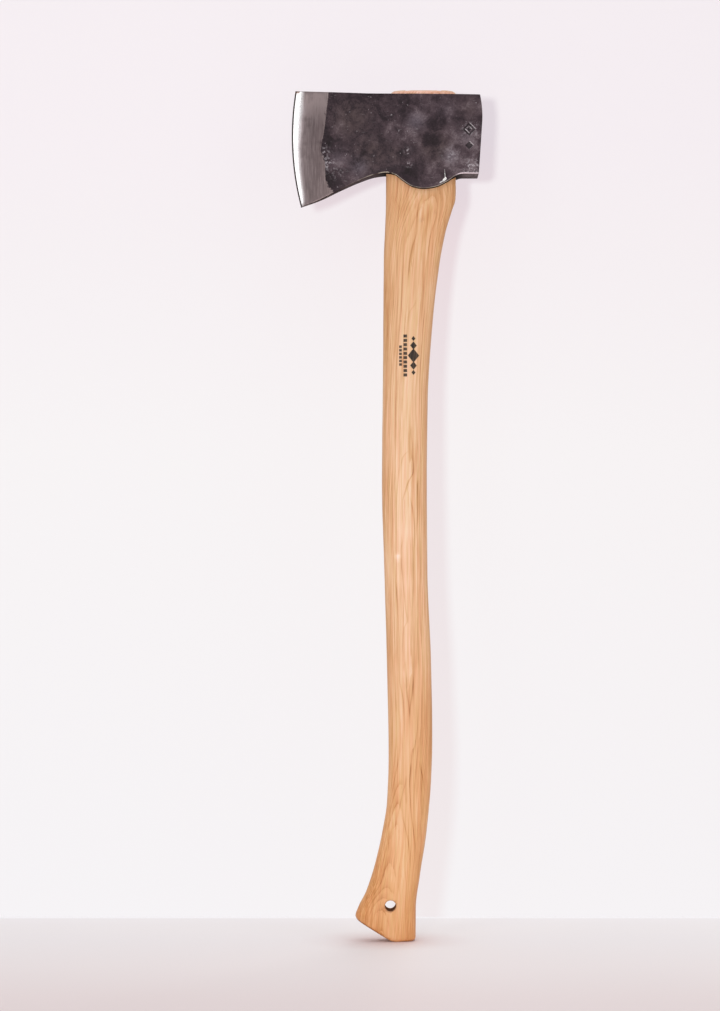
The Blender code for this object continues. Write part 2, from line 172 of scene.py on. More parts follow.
# Small marks in the wood, as (x, height, radius, strength).
PALE_SPOTS = [
    (-0.0042, 0.353, 0.0022, 1.0), (-0.0042, 0.349, 0.0014, 0.5), (0.004, 0.33, 0.009, 0.18),
    (0.0038, 0.375, 0.008, 0.22), (0.004, 0.29, 0.006, 0.12), (0.005, 0.245, 0.008, 0.2),
]
PIN_KNOTS = [(0.0306, 0.6717, 0.0008, 0.7), (0.0178, 0.664, 0.0018, 0.25)]

# Darker single lines of the grain on the near face, in millimetres: lanes of (height, x, strength) from the
# butt up. A line ends where its strength is 0, and the next one in its lane starts further up.
VEINS_MM = [
    [
        (59, 9, 0), (83, 11.5, 0.3), (117, 8, 0.35), (144, 6.5, 0.35), (158, 7.5, 0.3), (165, 8, 0),
        (261, 0, 0), (274, 0.5, 0.2), (287, 1.5, 0.2), (294, 4.5, 0.2), (304, 3, 0.25), (335, 0, 0.25),
        (357, -1.5, 0.1), (372, 1, 0.18), (403, 0, 0.15), (414, 3, 0.3), (423, 6, 0.35), (431, 10, 0.35),
        (448, 10, 0.2), (469, 8, 0.18), (475, 8, 0), (601, 5.5, 0), (625, 7, 0.3), (639, 9.5, 0.3),
        (655, 13.5, 0.3), (669, 14, 0.35), (679, 15.5, 0.35), (689, 20.5, 0),
    ],
    [
        (64, 7, 0), (80, 6.5, 0.25), (95, 4.5, 0.3), (108, 1.5, 0.25), (118, -1, 0), (193, 5.5, 0),
        (211, 6.5, 0.35), (228, 9, 0.3), (254, 11, 0.2), (295, 9.5, 0.15), (335, 9.5, 0.2), (375, 11, 0.3),
        (394, 9.5, 0.3), (411, 6.5, 0), (569, -0.5, 0), (581, -0.5, 0.2), (637, 1, 0.25), (651, 2.5, 0.2),
        (659, 3, 0),
    ],
    [
        (134, 21, 0), (151, 18.5, 0.25), (160, 16, 0.2), (167, 15.5, 0), (204, 6, 0), (212, 6, 0.3),
        (228, 4, 0.3), (245, 3, 0.25), (262, 2.5, 0), (364, 13, 0), (375, 13, 0.2), (394, 14, 0.35),
        (418, 14, 0.3), (426, 14.5, 0), (566, 17, 0), (590, 19, 0.2), (609, 20.5, 0.2), (650, 26, 0.25),
        (672, 30, 0),
    ],
    [
        (164, -0.5, 0), (199, 1.5, 0.25), (221, 0.5, 0.3), (241, -3, 0.25), (272, -3.5, 0.15), (302, -4, 0.2),
        (320, -5.5, 0.2), (350, -7.5, 0.15), (480, -6.5, 0.1), (564, -5, 0.12), (603, -4, 0.2),
        (639, -5.5, 0.2), (675, -3.5, 0.2), (683, -3.5, 0),
    ],
    [
        (101, -7, 0), (113, -5, 0.2), (127, -2, 0.25), (137, 0.5, 0.25), (148, 3, 0.2), (153, 3, 0),
        (424, -2, 0), (434, -1.5, 0.1), (443, 0, 0.2), (448, 3, 0.2), (450, 5.5, 0), (562, 5, 0),
        (578, 6.5, 0.15), (585, 11, 0.15), (593, 14, 0),
    ],
]

# How the oil has toned the wood, as (height, red, green, blue).
OIL_TINT = [
    (0.0, 0.83, 0.66, 0.48), (0.03, 0.84, 0.69, 0.51), (0.08, 0.89, 0.8, 0.67), (0.2, 0.89, 0.84, 0.77),
    (0.31, 0.95, 0.99, 1.05), (0.42, 0.95, 1.0, 1.07), (0.48, 0.93, 0.98, 1.04), (0.6, 0.88, 0.88, 0.87),
    (0.66, 0.86, 0.83, 0.77), (0.778, 0.86, 0.83, 0.77), (0.784, 1.08, 1.12, 1.66),
    (0.787, 1.08, 1.12, 1.66),
]

# Growth rings. RING_SWELL counts rings down from the bark side along the near face's crest, RING_LEAN tilts
# them across the handle, RING_BEND is the radius of their bow and GRAIN_LINE is the line of the fibres.
RING_WIDTH = 0.00135
RING_BEND = 0.06
RING_SWELL = [
    (0.0, 14.0), (0.03, 12.4), (0.0525, 11.0), (0.0689, 10.0), (0.113, 9.0), (0.15, 8.0), (0.18, 7.65),
    (0.2152, 8.0), (0.25, 8.18), (0.2915, 8.06), (0.33, 8.24), (0.38, 8.12), (0.405, 8.0), (0.43, 7.84),
    (0.475, 7.66), (0.53, 7.55), (0.6, 7.45), (0.64, 7.25), (0.66, 6.82), (0.676, 6.0), (0.686, 5.0),
    (0.6955, 4.0), (0.74, 2.0), (0.787, 0.0),
]
RING_LEAN = [
    (0.0, -0.27), (0.03, -0.27), (0.0525, -0.22), (0.0689, -0.3), (0.113, -0.34), (0.15, -0.18),
    (0.2, 0.03), (0.3, 0.04), (0.4, 0.05), (0.44, 0.14), (0.48, 0.08), (0.56, 0.05), (0.594, 0.09),
    (0.6387, 0.06), (0.675, 0.2), (0.693, 0.245), (0.787, 0.25),
]
GRAIN_LINE = [
    (0.0, -0.0088), (0.03, -0.0058), (0.066, -0.0022), (0.095, 0.0006), (0.2, 0.002), (0.36, 0.0024),
    (0.485, 0.0041), (0.58, 0.0094), (0.64, 0.0135), (0.69, 0.0181), (0.787, 0.021),
]


# ---------------------------------------------------------------- curves and sections
def curve_through(knots):
    """A smooth function through (place, value) knots: cubic spans without overshoot, level past the ends."""
    places, values = np.array(knots, float).T
    rises = np.diff(values) / np.diff(places)
    slopes = np.empty_like(values)
    slopes[0], slopes[-1] = rises[0], rises[-1]
    before, after = rises[:-1], rises[1:]
    same = before * after > 0
    slopes[1:-1] = np.where(same, 2 * before * after / np.where(same, before + after, 1.0), 0.0)

    def at(place):
        place = np.clip(place, places[0], places[-1])
        i = np.clip(np.searchsorted(places, place, side="right") - 1, 0, len(places) - 2)
        width = places[i + 1] - places[i]
        t = (place - places[i]) / width
        start = (2 * t**3 - 3 * t**2 + 1) * values[i] + (t**3 - 2 * t**2 + t) * width * slopes[i]
        end = (3 * t**2 - 2 * t**3) * values[i + 1] + (t**3 - t**2) * width * slopes[i + 1]
        return start + end

    return at


def curves_through(rows):
    """One such curve for each of the rows' later values, all against their first."""
    places, *columns = zip(*rows)
    return [curve_through(list(zip(places, column))) for column in columns]


def smooth_step(share):
    share = np.clip(share, 0.0, 1.0)
    return share * share * (3 - 2 * share)


underside_z = curve_through(UNDERSIDE)
top_line_z = curve_through(TOP_LINE)
head_half = curve_through(HALF_THICKNESS)
cheek_bow = curve_through(CHEEK_BOW)
honed_limit_x = curve_through(HONED_LIMIT)
scale_limit_x = curve_through(SCALE_LIMIT)
rim_shine = curve_through(RIM_SHINE)
eye_curves = curves_through(EYE)
handle_curves = [curve_through(knots) for knots in (HANDLE_FRONT, HANDLE_BACK, HANDLE_HALF)]
ring_swell = curve_through(RING_SWELL)
ring_lean = curve_through(RING_LEAN)
grain_line_x = curve_through(GRAIN_LINE)


def edge_x(z):
    return EDGE_X + EDGE_RADIUS - np.sqrt(EDGE_RADIUS**2 - (z - EDGE_BELLY_Z) ** 2)


def poll_x(z):
    crown = np.maximum(0.0, (z - POLL_FLAT_TOP_Z) / (POLL_TOP_Z - POLL_FLAT_TOP_Z))
    return POLL_FOOT_X + POLL_LEAN * (z - POLL_BOTTOM_Z) - POLL_CROWN_DROP * crown**2


def head_profile(u, v):
    """(x, z) of the head's side profile, u from the edge to the poll, v from the underside to the top."""
    edge_z = HEEL_Z + (TOE_Z - HEEL_Z) * v
    poll_z = POLL_BOTTOM_Z + (POLL_TOP_Z - POLL_BOTTOM_Z) * v
    bottom_x = edge_x(HEEL_Z) + (poll_x(POLL_BOTTOM_Z) - edge_x(HEEL_Z)) * u
    top_x = edge_x(TOE_Z) + (poll_x(POLL_TOP_Z) - edge_x(TOE_Z)) * u
    corners_x = (1 - u) * ((1 - v) * edge_x(HEEL_Z) + v * edge_x(TOE_Z))
    corners_x = corners_x + u * ((1 - v) * poll_x(POLL_BOTTOM_Z) + v * poll_x(POLL_TOP_Z))
    corners_z = (1 - u) * edge_z + u * poll_z
    x = (1 - v) * bottom_x + v * top_x + (1 - u) * edge_x(edge_z) + u * poll_x(poll_z) - corners_x
    z = (1 - v) * underside_z(bottom_x) + v * top_line_z(top_x) + (1 - u) * edge_z + u * poll_z - corners_z
    return x, z


def full_turn(steps):
    return np.linspace(0, 2 * math.pi, steps, endpoint=False)


def oval(front, back, half, turns):
    """Points (x, y) of superellipses at these turns; front, back and half may be arrays that broadcast."""
    cos, sin = np.cos(turns), np.sin(turns)
    power = 2 / OVAL_POWER
    x = (front + back) / 2 + (back - front) / 2 * np.sign(cos) * np.abs(cos) ** power
    y = half * np.sign(sin) * np.abs(sin) ** power
    return x, y


def eye_section(z):
    return [curve(z) for curve in eye_curves]


def handle_section(z):
    """(front x, back x, half thickness) of the handle, which fits the eye above HANDLE_TO_EYE_Z."""
    low, high = HANDLE_TO_EYE_Z
    share = smooth_step((z - low) / (high - low))
    gaps = (FIT_GAP, -FIT_GAP, -FIT_GAP)
    fitted = [value + gap for value, gap in zip(eye_section(z), gaps)]
    return [(1 - share) * curve(z) + share * fit for curve, fit in zip(handle_curves, fitted)]


def sole_height(x):
    run = SOLE_RIDGE_X - x
    blend = SOLE_SLOPE * (run + SOLE_BLEND) ** 2 / (4 * SOLE_BLEND)
    return np.where(run <= -SOLE_BLEND, 0.0, np.where(run >= SOLE_BLEND, SOLE_SLOPE * run, blend))


# ---------------------------------------------------------------- mesh helpers
def mesh_object(name, points, faces):
    """A smooth-shaded mesh object with coinciding points joined and its faces turned outwards."""
    mesh = bpy.data.meshes.new(name)
    mesh.from_pydata(np.asarray(points, float).reshape(-1, 3).tolist(), [], faces)
    work = bmesh.new()
    work.from_mesh(mesh)
    bmesh.ops.remove_doubles(work, verts=work.verts, dist=1e-6)
    bmesh.ops.dissolve_degenerate(work, edges=work.edges, dist=1e-7)
    bmesh.ops.recalc_face_normals(work, faces=work.faces)
    work.to_mesh(mesh)
    work.free()
    obj = bpy.data.objects.new(name, mesh)
    bpy.context.scene.collection.objects.link(obj)
    return obj


def ring_faces(rings, count):
    """Quads between neighbouring closed rings of count points each."""
    faces = []
    for low in range(0, (rings - 1) * count, count):
        for j in range(count):
            k = (j + 1) % count
            faces.append((low + j, low + k, low + count + k, low + count + j))
    return faces


def add_boolean(obj, other, operation):
    modifier = obj.modifiers.new(f"{operation}_{other.name}", "BOOLEAN")
    modifier.operation, modifier.object, modifier.solver = operation, other, "EXACT"


def cut(obj, cutter):
    """Takes the cutter's space out of the object, for good, and removes the cutter."""
    add_boolean(obj, cutter, "DIFFERENCE")
    graph = bpy.context.evaluated_depsgraph_get()
    mesh = bpy.data.meshes.new_from_object(obj.evaluated_get(graph), depsgraph=graph)
    obj.modifiers.clear()
    old, obj.data = obj.data, mesh
    bpy.data.meshes.remove(old)
    bpy.data.objects.remove(cutter)


def points_of(obj):
    flat = np.empty(len(obj.data.vertices) * 3)
    obj.data.vertices.foreach_get("co", flat)
    return flat.reshape(-1, 3)


def normals_of(obj):
    flat = np.empty(len(obj.data.vertices) * 3, np.float32)
    obj.data.vertex_normals.foreach_get("vector", flat)
    return flat.reshape(-1, 3).astype(float)


def set_points(obj, points):
    obj.data.vertices.foreach_set("co", np.asarray(points, np.float32).ravel())
    obj.data.update()


def set_attribute(obj, name, values):
    attribute = obj.data.attributes.new(name, "FLOAT", "POINT")
    attribute.data.foreach_set("value", np.asarray(values, np.float32))


def set_attributes(obj, **fields):
    for name, values in fields.items():
        set_attribute(obj, name, values)


def set_vector_attribute(obj, name, vectors):
    attribute = obj.data.attributes.new(name, "FLOAT_VECTOR", "POINT")
    attribute.data.foreach_set("vector", np.asarray(vectors, np.float32).ravel())


def refine(obj, wanted, cuts):
    """Subdivides the faces whose centre and normal the function wants, so that fine marks fit in them."""
    work = bmesh.new()
    work.from_mesh(obj.data)
    faces = [face for face in work.faces if wanted(face.calc_center_median(), face.normal)]
    edges = {edge for face in faces for edge in face.edges}
    bmesh.ops.subdivide_edges(work, edges=list(edges), cuts=cuts, use_grid_fill=True)
    work.to_mesh(obj.data)
    work.free()
    obj.data.update()


def finish_mesh(obj, sharp_degrees):
    obj.data.shade_smooth()
    obj.data.set_sharp_from_angle(angle=math.radians(sharp_degrees))


def fit_to_node(points, node):
    """Points laid exactly over a CAD node's box."""
    low, high = (np.array(corner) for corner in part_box(node))
    own_low, own_high = points.min(0), points.max(0)
    return low + (points - own_low) * (high - low) / (own_high - own_low)


def blobs(points, patches):
    """A soft field over x and z: the sum of round patches given as (x, height, radius, strength)."""
    field = np.zeros(len(points))
    for x, z, radius, strength in patches:
        apart = ((points[:, 0] - x) ** 2 + (points[:, 2] - z) ** 2) / radius**2
        field += strength * np.exp(-apart)
    return field


def noise_field(points, scale, seed):
    """Smooth noise about nought at each point, the same on every run."""
    shift = Vector((seed * 7.13, seed * 3.71, seed * 5.39))
    return np.array([noise.noise(Vector(point) * scale + shift) for point in points])


# ---------------------------------------------------------------- head
def head_rings():
    """Closed rings of the head from the cutting edge back to the poll, where they turn in over its rim."""
    near = np.linspace(0.0, FINE_ZONE, FINE_STEPS)
    far = np.linspace(FINE_ZONE, HEAD_LENGTH, COARSE_STEPS)[1:]
    v = np.linspace(0.0, 1.0, HEAD_ROWS + 1)
    swing = np.linspace(0.0, math.pi / 2, HEAD_RIM_STEPS + 1)[1:-1]
    flat = np.linspace(-1.0, 1.0, HEAD_ACROSS + 1)

    def section(distance, inset=0.0, setback=0.0):
        u = distance / HEAD_LENGTH
        x, z = head_profile(np.full_like(v, u), v)
        half = head_half(distance) * (1 - cheek_bow(distance) * (2 * v - 1) ** 2)
        rim = np.minimum(RIM_RADIUS, THIN_RIM_SHARE * half)
        side_y = half - inset
        side_z = z + (rim + inset) * (1 - 2 * v)
        low, high = rim[0], rim[-1]
        low_arc_y = side_y[0] - low + low * np.sin(swing)
        low_arc_z = z[0] + inset + low - low * np.cos(swing)
        high_arc_y = side_y[-1] - high + high * np.cos(swing)
        high_arc_z = z[-1] - inset - high + high * np.sin(swing)
        right_y = np.concatenate([low_arc_y, side_y, high_arc_y])
        right_z = np.concatenate([low_arc_z, side_z, high_arc_z])
        right_x = np.concatenate([np.full_like(low_arc_y, x[0]), x, np.full_like(high_arc_y, x[-1])])
        bottom_y, top_y = flat * (side_y[0] - low), -flat * (side_y[-1] - high)
        ring_x = np.concatenate([np.full_like(flat, x[0]), right_x, np.full_like(flat, x[-1]), right_x[::-1]])
        ring_y = np.concatenate([bottom_y, right_y, top_y, -right_y[::-1]])
        ring_z = np.concatenate([
            np.full_like(flat, z[0] + inset), right_z, np.full_like(flat, z[-1] - inset), right_z[::-1],
        ])
        return np.stack([ring_x - setback, ring_y, ring_z], 1)

    rings = [section(distance) for distance in np.concatenate([near, far[:-1]])]
    for turn in np.linspace(0.0, math.pi / 2, 4):
        inset, setback = RIM_RADIUS * (1 - math.cos(turn)), RIM_RADIUS * (1 - math.sin(turn))
        rings.append(section(HEAD_LENGTH, inset, setback))
    return rings


def head_shell():
    """The head without its eye: its rings, closed at the poll by a grid between its two sides."""
    rings = head_rings()
    count = len(rings[0])
    faces = ring_faces(len(rings), count)
    last = (len(rings) - 1) * count
    across = HEAD_ACROSS
    side = (count - 2 * (across + 1)) // 2
    points = [*np.concatenate(rings)]
    right = [last + across + 1 + j for j in range(side)]
    left = [last + count - 1 - j for j in range(side)]
    bottom = [last + k for k in range(across + 1)]
    top = [last + across + 1 + side + across - k for k in range(across + 1)]
    grid = [bottom]
    for j in range(side):
        row = [left[j]]
        for k in range(1, across):
            share = k / across
            points.append((1 - share) * points[left[j]] + share * points[right[j]])
            row.append(len(points) - 1)
        row.append(right[j])
        grid.append(row)
    grid.append(top)
    for low, high in zip(grid, grid[1:]):
        faces += [(low[k], low[k + 1], high[k + 1], high[k]) for k in range(across)]
    return mesh_object("head_forged", fit_to_node(np.array(points), "axe_head"), faces)


def eye_cutter():
    """The eye's space, carried on past both ends of the eye."""
    turns = full_turn(160)
    heights = np.concatenate([EYE_CUT_Z[:1], np.linspace(EYE[0][0], EYE[-1][0], 24), EYE_CUT_Z[1:]])
    rings = []
    for z in heights:
        x, y = oval(*eye_section(z), turns)
        rings.append(np.stack([x, y, np.full_like(x, z)], 1))
    faces = ring_faces(len(rings), len(turns))
    faces += [tuple(range(len(turns))), tuple(range((len(rings) - 1) * len(turns), len(rings) * len(turns)))]
    return mesh_object("eye_cutter", np.concatenate(rings), faces)


def segment_distance(x, z, start, end):
    """Distance in the x, z plane from each point to the line between start and end."""
    start, end = np.array(start), np.array(end)
    along = end - start
    share = ((x - start[0]) * along[0] + (z - start[1]) * along[1]) / (along @ along)
    share = np.clip(share, 0.0, 1.0)
    return np.hypot(x - start[0] - share * along[0], z - start[1] - share * along[1])


def stamp_depth(x, z):
    """How deep the struck mark is at each point, 0 to 1."""
    tips = [(0, STAMP_REACH), (STAMP_REACH, 0), (0, -STAMP_REACH), (-STAMP_REACH, 0)]
    corners = [(STAMP_MIDDLE[0] + dx, STAMP_MIDDLE[1] + dz) for dx, dz in tips]
    away = [segment_distance(x, z, corners[k], corners[(k + 1) % 4]) for k in range(4)]
    for drop, reach in ((0, STAMP_INNER_REACH), (STAMP_DROP, STAMP_LOWER_REACH)):
        away.append(np.abs(x - STAMP_MIDDLE[0]) + np.abs(z - STAMP_MIDDLE[1] + drop) - reach)
    return 1 - smooth_step((np.min(away, axis=0) - STAMP_LINE_HALF) / STAMP_SOFTNESS)


def inside(box, x, z):
    (x_low, x_high), (z_low, z_high) = box
    return x_low < x < x_high and z_low < z < z_high


def make_head():
    """The forged head with its relief cut in, and the fields on its points that its finish reads."""
    head = head_shell()
    cut(head, eye_cutter())
    for box in (STAMP_BOX, NICK_BOX):
        refine(head, lambda centre, normal: normal.y < -0.6 and inside(box, centre.x, centre.z), 3)
    points, normals = points_of(head), normals_of(head)
    x, y, z = points.T
    on_cheek = smooth_step((np.abs(normals[:, 1]) - 0.75) / 0.2)
    back = x - scale_limit_x(z)
    ragged = smooth_step((0.74 - z) / 0.02)
    scale_edge = back + 0.0011 * ragged * noise_field(points, 420, 3) + 0.0005 * noise_field(points, 1100, 4)
    scaled = smooth_step(scale_edge / 0.0006)
    forged = sum(height * noise_field(points, scale, seed) for height, scale, seed in FORGED_RELIEF)
    nick = np.zeros_like(x)
    for start, end, half, strength in NICK_STROKES:
        apart = segment_distance(x, z, start, end) - half
        nick = np.maximum(nick, strength * (1 - smooth_step(apart / 0.0006)) * (y < 0))
    stamp = stamp_depth(x, z) * (y < 0)
    # The rim on the upper right side of the mark's lines. It is raised a little and painted light as a
    # painted highlight where the light falls.
    stamp_rim = np.clip(stamp_depth(x - 0.00055, z - 0.0004) - stamp, 0, 1) * (y < 0)
    rise = on_cheek * (scaled * (SCALE_LIFT + forged) - STAMP_DEPTH * stamp + STAMP_BURR * stamp_rim)
    rise -= NICK_DEPTH * nick
    set_points(head, points + normals * rise[:, None])
    # How close each point is to the handle, for the painted contact shadow under the head beside it.
    beyond = np.maximum(EYE[0][1] - x, x - EYE[0][2])
    set_attributes(
        head, honed_mm=(x - honed_limit_x(z)) / MM, scale_mm=scale_edge / MM, edge_mm=(x - edge_x(z)) / MM,
        lower_rim_mm=(z - underside_z(x)) / MM, upper_rim_mm=(top_line_z(x) - z) / MM, rim_shine=rim_shine(x),
        by_handle=1 - smooth_step((beyond + 0.0005) / 0.01), stamp=stamp, stamp_rim=stamp_rim, nick=nick,
    )
    patches = {"cool": COOL_PATCHES, "warm": WARM_PATCHES, "dark": DARK_PATCHES, "speck": SPECK_PATCHES}
    for name, spots in patches.items():
        set_attribute(head, name, np.clip(blobs(points, spots), 0, 1.2))
    finish_mesh(head, 28)
    return head


# ---------------------------------------------------------------- handle
def bent_rings(heights, insets, turns):
    """Rings of the handle. Near the butt they follow the sole, and they flatten out further up."""
    level = np.asarray(heights)[:, None]
    inset = np.asarray(insets)[:, None]
    fade = 1 - smooth_step(level / SOLE_FADE_HEIGHT)
    z = np.repeat(level, len(turns), axis=1)
    for _ in range(14):
        front, back, half = handle_section(z)
        x, y = oval(front + inset, back - inset, half - inset, turns[None, :])
        z = level + fade * sole_height(x)
    return np.stack([x, y, z], 2)


def handle_shell():
    """The handle before it is sawn and drilled, with its sole and its crown closed by shrinking rings."""
    turns = full_turn(HANDLE_SIDES)
    heights, insets = (list(part) for part in zip(*BUTT_EDGE))
    body = np.arange(0.006, CROWN[0][0] - 0.001, RING_STEP)
    heights += list(body)
    insets += [0.0] * len(body)
    rings = list(bent_rings(heights, insets, turns))
    for z, inset in CROWN:
        front, back, half = handle_section(z)
        x, y = oval(front + inset, back - inset, half - inset, turns)
        rings.append(np.stack([x, y, np.full_like(x, z)], 1))
    for end in (0, -1):
        outer = rings[end]
        middle = outer.mean(0)
        for k in range(1, END_STEPS + 1):
            inner = outer + (middle - outer) * np.array([1, 1, 0]) * (k / (END_STEPS + 0.02))
            if end == 0:
                inner[:, 2] = sole_height(inner[:, 0])
                rings.insert(0, inner)
            else:
                inner[:, 2] = outer[:, 2] + CROWN_RISE * k / END_STEPS
                rings.append(inner)
    count = len(turns)
    faces = ring_faces(len(rings), count)
    faces += [tuple(range(count)), tuple(range((len(rings) - 1) * count, len(rings) * count))]
    return mesh_object("handle_hickory", fit_to_node(np.concatenate(rings), "handle"), faces)


def prism(name, outline, low, high, axis):
    """A closed prism: an outline in two axes carried from low to high along the third, "x" or "y"."""
    count = len(outline)
    points = []
    for place in (low, high):
        for a, z in outline:
            points.append((place, a, z) if axis == "x" else (a, place, z))
    faces = [tuple(range(count)), tuple(range(count, 2 * count))]
    faces += [(k, (k + 1) % count, count + (k + 1) % count, count + k) for k in range(count)]
    return mesh_object(name, points, faces)


def cut_wedge_space(handle):
    """Saws the kerf and the two slots across it, each carried on past the crown so that it opens there."""
    top, over = CROWN[-1][0], 0.012
    grow = (KERF_TOP_HALF - KERF_TIP_HALF) / (top - KERF_TIP_Z) * over
    half = KERF_TOP_HALF + grow
    kerf = [
        (-KERF_TIP_HALF, KERF_TIP_Z), (KERF_TIP_HALF, KERF_TIP_Z), (half, top + over), (-half, top + over),
    ]
    space = prism("kerf", kerf, -0.03, 0.07, "x")
    slots = []
    for k, x in enumerate(SLOT_X):
        outline = [
            (x - SLOT_TIP_HALF, SLOT_BOTTOM_Z), (x + SLOT_TIP_HALF, SLOT_BOTTOM_Z),
            (x + SLOT_TOP_HALF, SLOT_TOP_Z), (x - SLOT_TOP_HALF, SLOT_TOP_Z),
        ]
        slots.append(prism(f"slot_{k}", outline, -SLOT_WIDTH / 2, SLOT_WIDTH / 2, "y"))
        add_boolean(space, slots[-1], "UNION")
    cut(handle, space)
    for slot in slots:
        bpy.data.objects.remove(slot)


def drill_lanyard_hole(handle):
    turns = full_turn(64)
    x, z = LANYARD_X + LANYARD_RADIUS * np.cos(turns), LANYARD_Z + LANYARD_RADIUS * np.sin(turns)
    cut(handle, prism("drill", list(zip(x, z)), -0.03, 0.03, "y"))


def brand_mark(x, z):
    """The burned-in mark, 0 to 1: a row of diamonds beside a pair of broken rules."""
    marks = []
    for middle, reach in BRAND_DIAMONDS:
        marks.append(np.abs(x - BRAND_DIAMOND_X) + np.abs(z - middle) * BRAND_SQUASH - reach)
    for place, low, high, half, step in BRAND_RULES:
        along = np.abs((z - low) % step - step / 2) - step * BRAND_DASH_SHARE
        marks.append(np.maximum.reduce([np.abs(x - place) - half, along, low - z, z - high]))
    return 1 - smooth_step((np.min(marks, axis=0) + 0.00015) / 0.0003)


def grain_place(points):
    """Each point's place in the straightened wood: across from the line of the fibres, through and along."""
    x, y, z = points.T
    return np.stack([x - grain_line_x(z), y, z], 1)


def ring_coordinate(points):
    """Growth rings counted towards the near face, as a smooth field that the grain is drawn from."""
    across, y, z = grain_place(points).T
    half = handle_section(z)[2]
    depth = -y - half + ring_lean(z) * across - across**2 / (2 * RING_BEND)
    slow = noise_field(points * np.array([1.0, 1.0, 0.11]), 80, 11)
    quick = noise_field(points * np.array([1.0, 1.0, 0.13]), 260, 12)
    return depth / RING_WIDTH + ring_swell(z) + 0.3 * slow + 0.09 * quick


def make_handle():
    """The hickory handle, kerfed, drilled and marked, and the fields on its points that its finish reads."""
    handle = handle_shell()
    cut_wedge_space(handle)
    drill_lanyard_hole(handle)
    refine(handle, lambda centre, normal: normal.y < -0.3 and inside(BRAND_BOX, centre.x, centre.z), 5)
    points, normals = points_of(handle), normals_of(handle)
    x, y, z = points.T
    mark = brand_mark(x, z) * (y < 0)
    spoke = SPOKESHAVE_DEPTH * noise_field(points, 55, 8)
    clear = smooth_step((HANDLE_TO_EYE_Z[0] - z) / 0.01)
    set_points(handle, points + normals * (spoke * clear - BRAND_DEPTH * mark)[:, None])
    # The lanyard hole's wall, which carries painted shade.
    bore = 1 - smooth_step((np.hypot(x - LANYARD_X, z - LANYARD_Z) - LANYARD_RADIUS) / 0.0012)
    set_attributes(
        handle, rings=ring_coordinate(points), mark=mark, pale=blobs(points, PALE_SPOTS) * (y < 0),
        knot=np.clip(blobs(points, PIN_KNOTS), 0, 1) * (y < 0), bore=bore,
        # The lowest 1.5 mm above the sole, darkened both as darker oiled end grain and as painted contact
        # shade.
        foot=1 - smooth_step((z - sole_height(x) - 0.0002) / 0.0015),
    )
    set_vector_attribute(handle, "grain", grain_place(points))
    set_vector_attribute(handle, "tint", np.stack([curve(z) for curve in curves_through(OIL_TINT)], 1))
    for k, lane_rows in enumerate(VEINS_MM):
        place, strength = curves_through(lane_rows)
        lane = np.stack([x / MM - place(z / MM), strength(z / MM) * (y < 0), np.zeros_like(z)], 1)
        set_vector_attribute(handle, f"vein_{k}", lane)
    finish_mesh(handle, 40)
    return handle


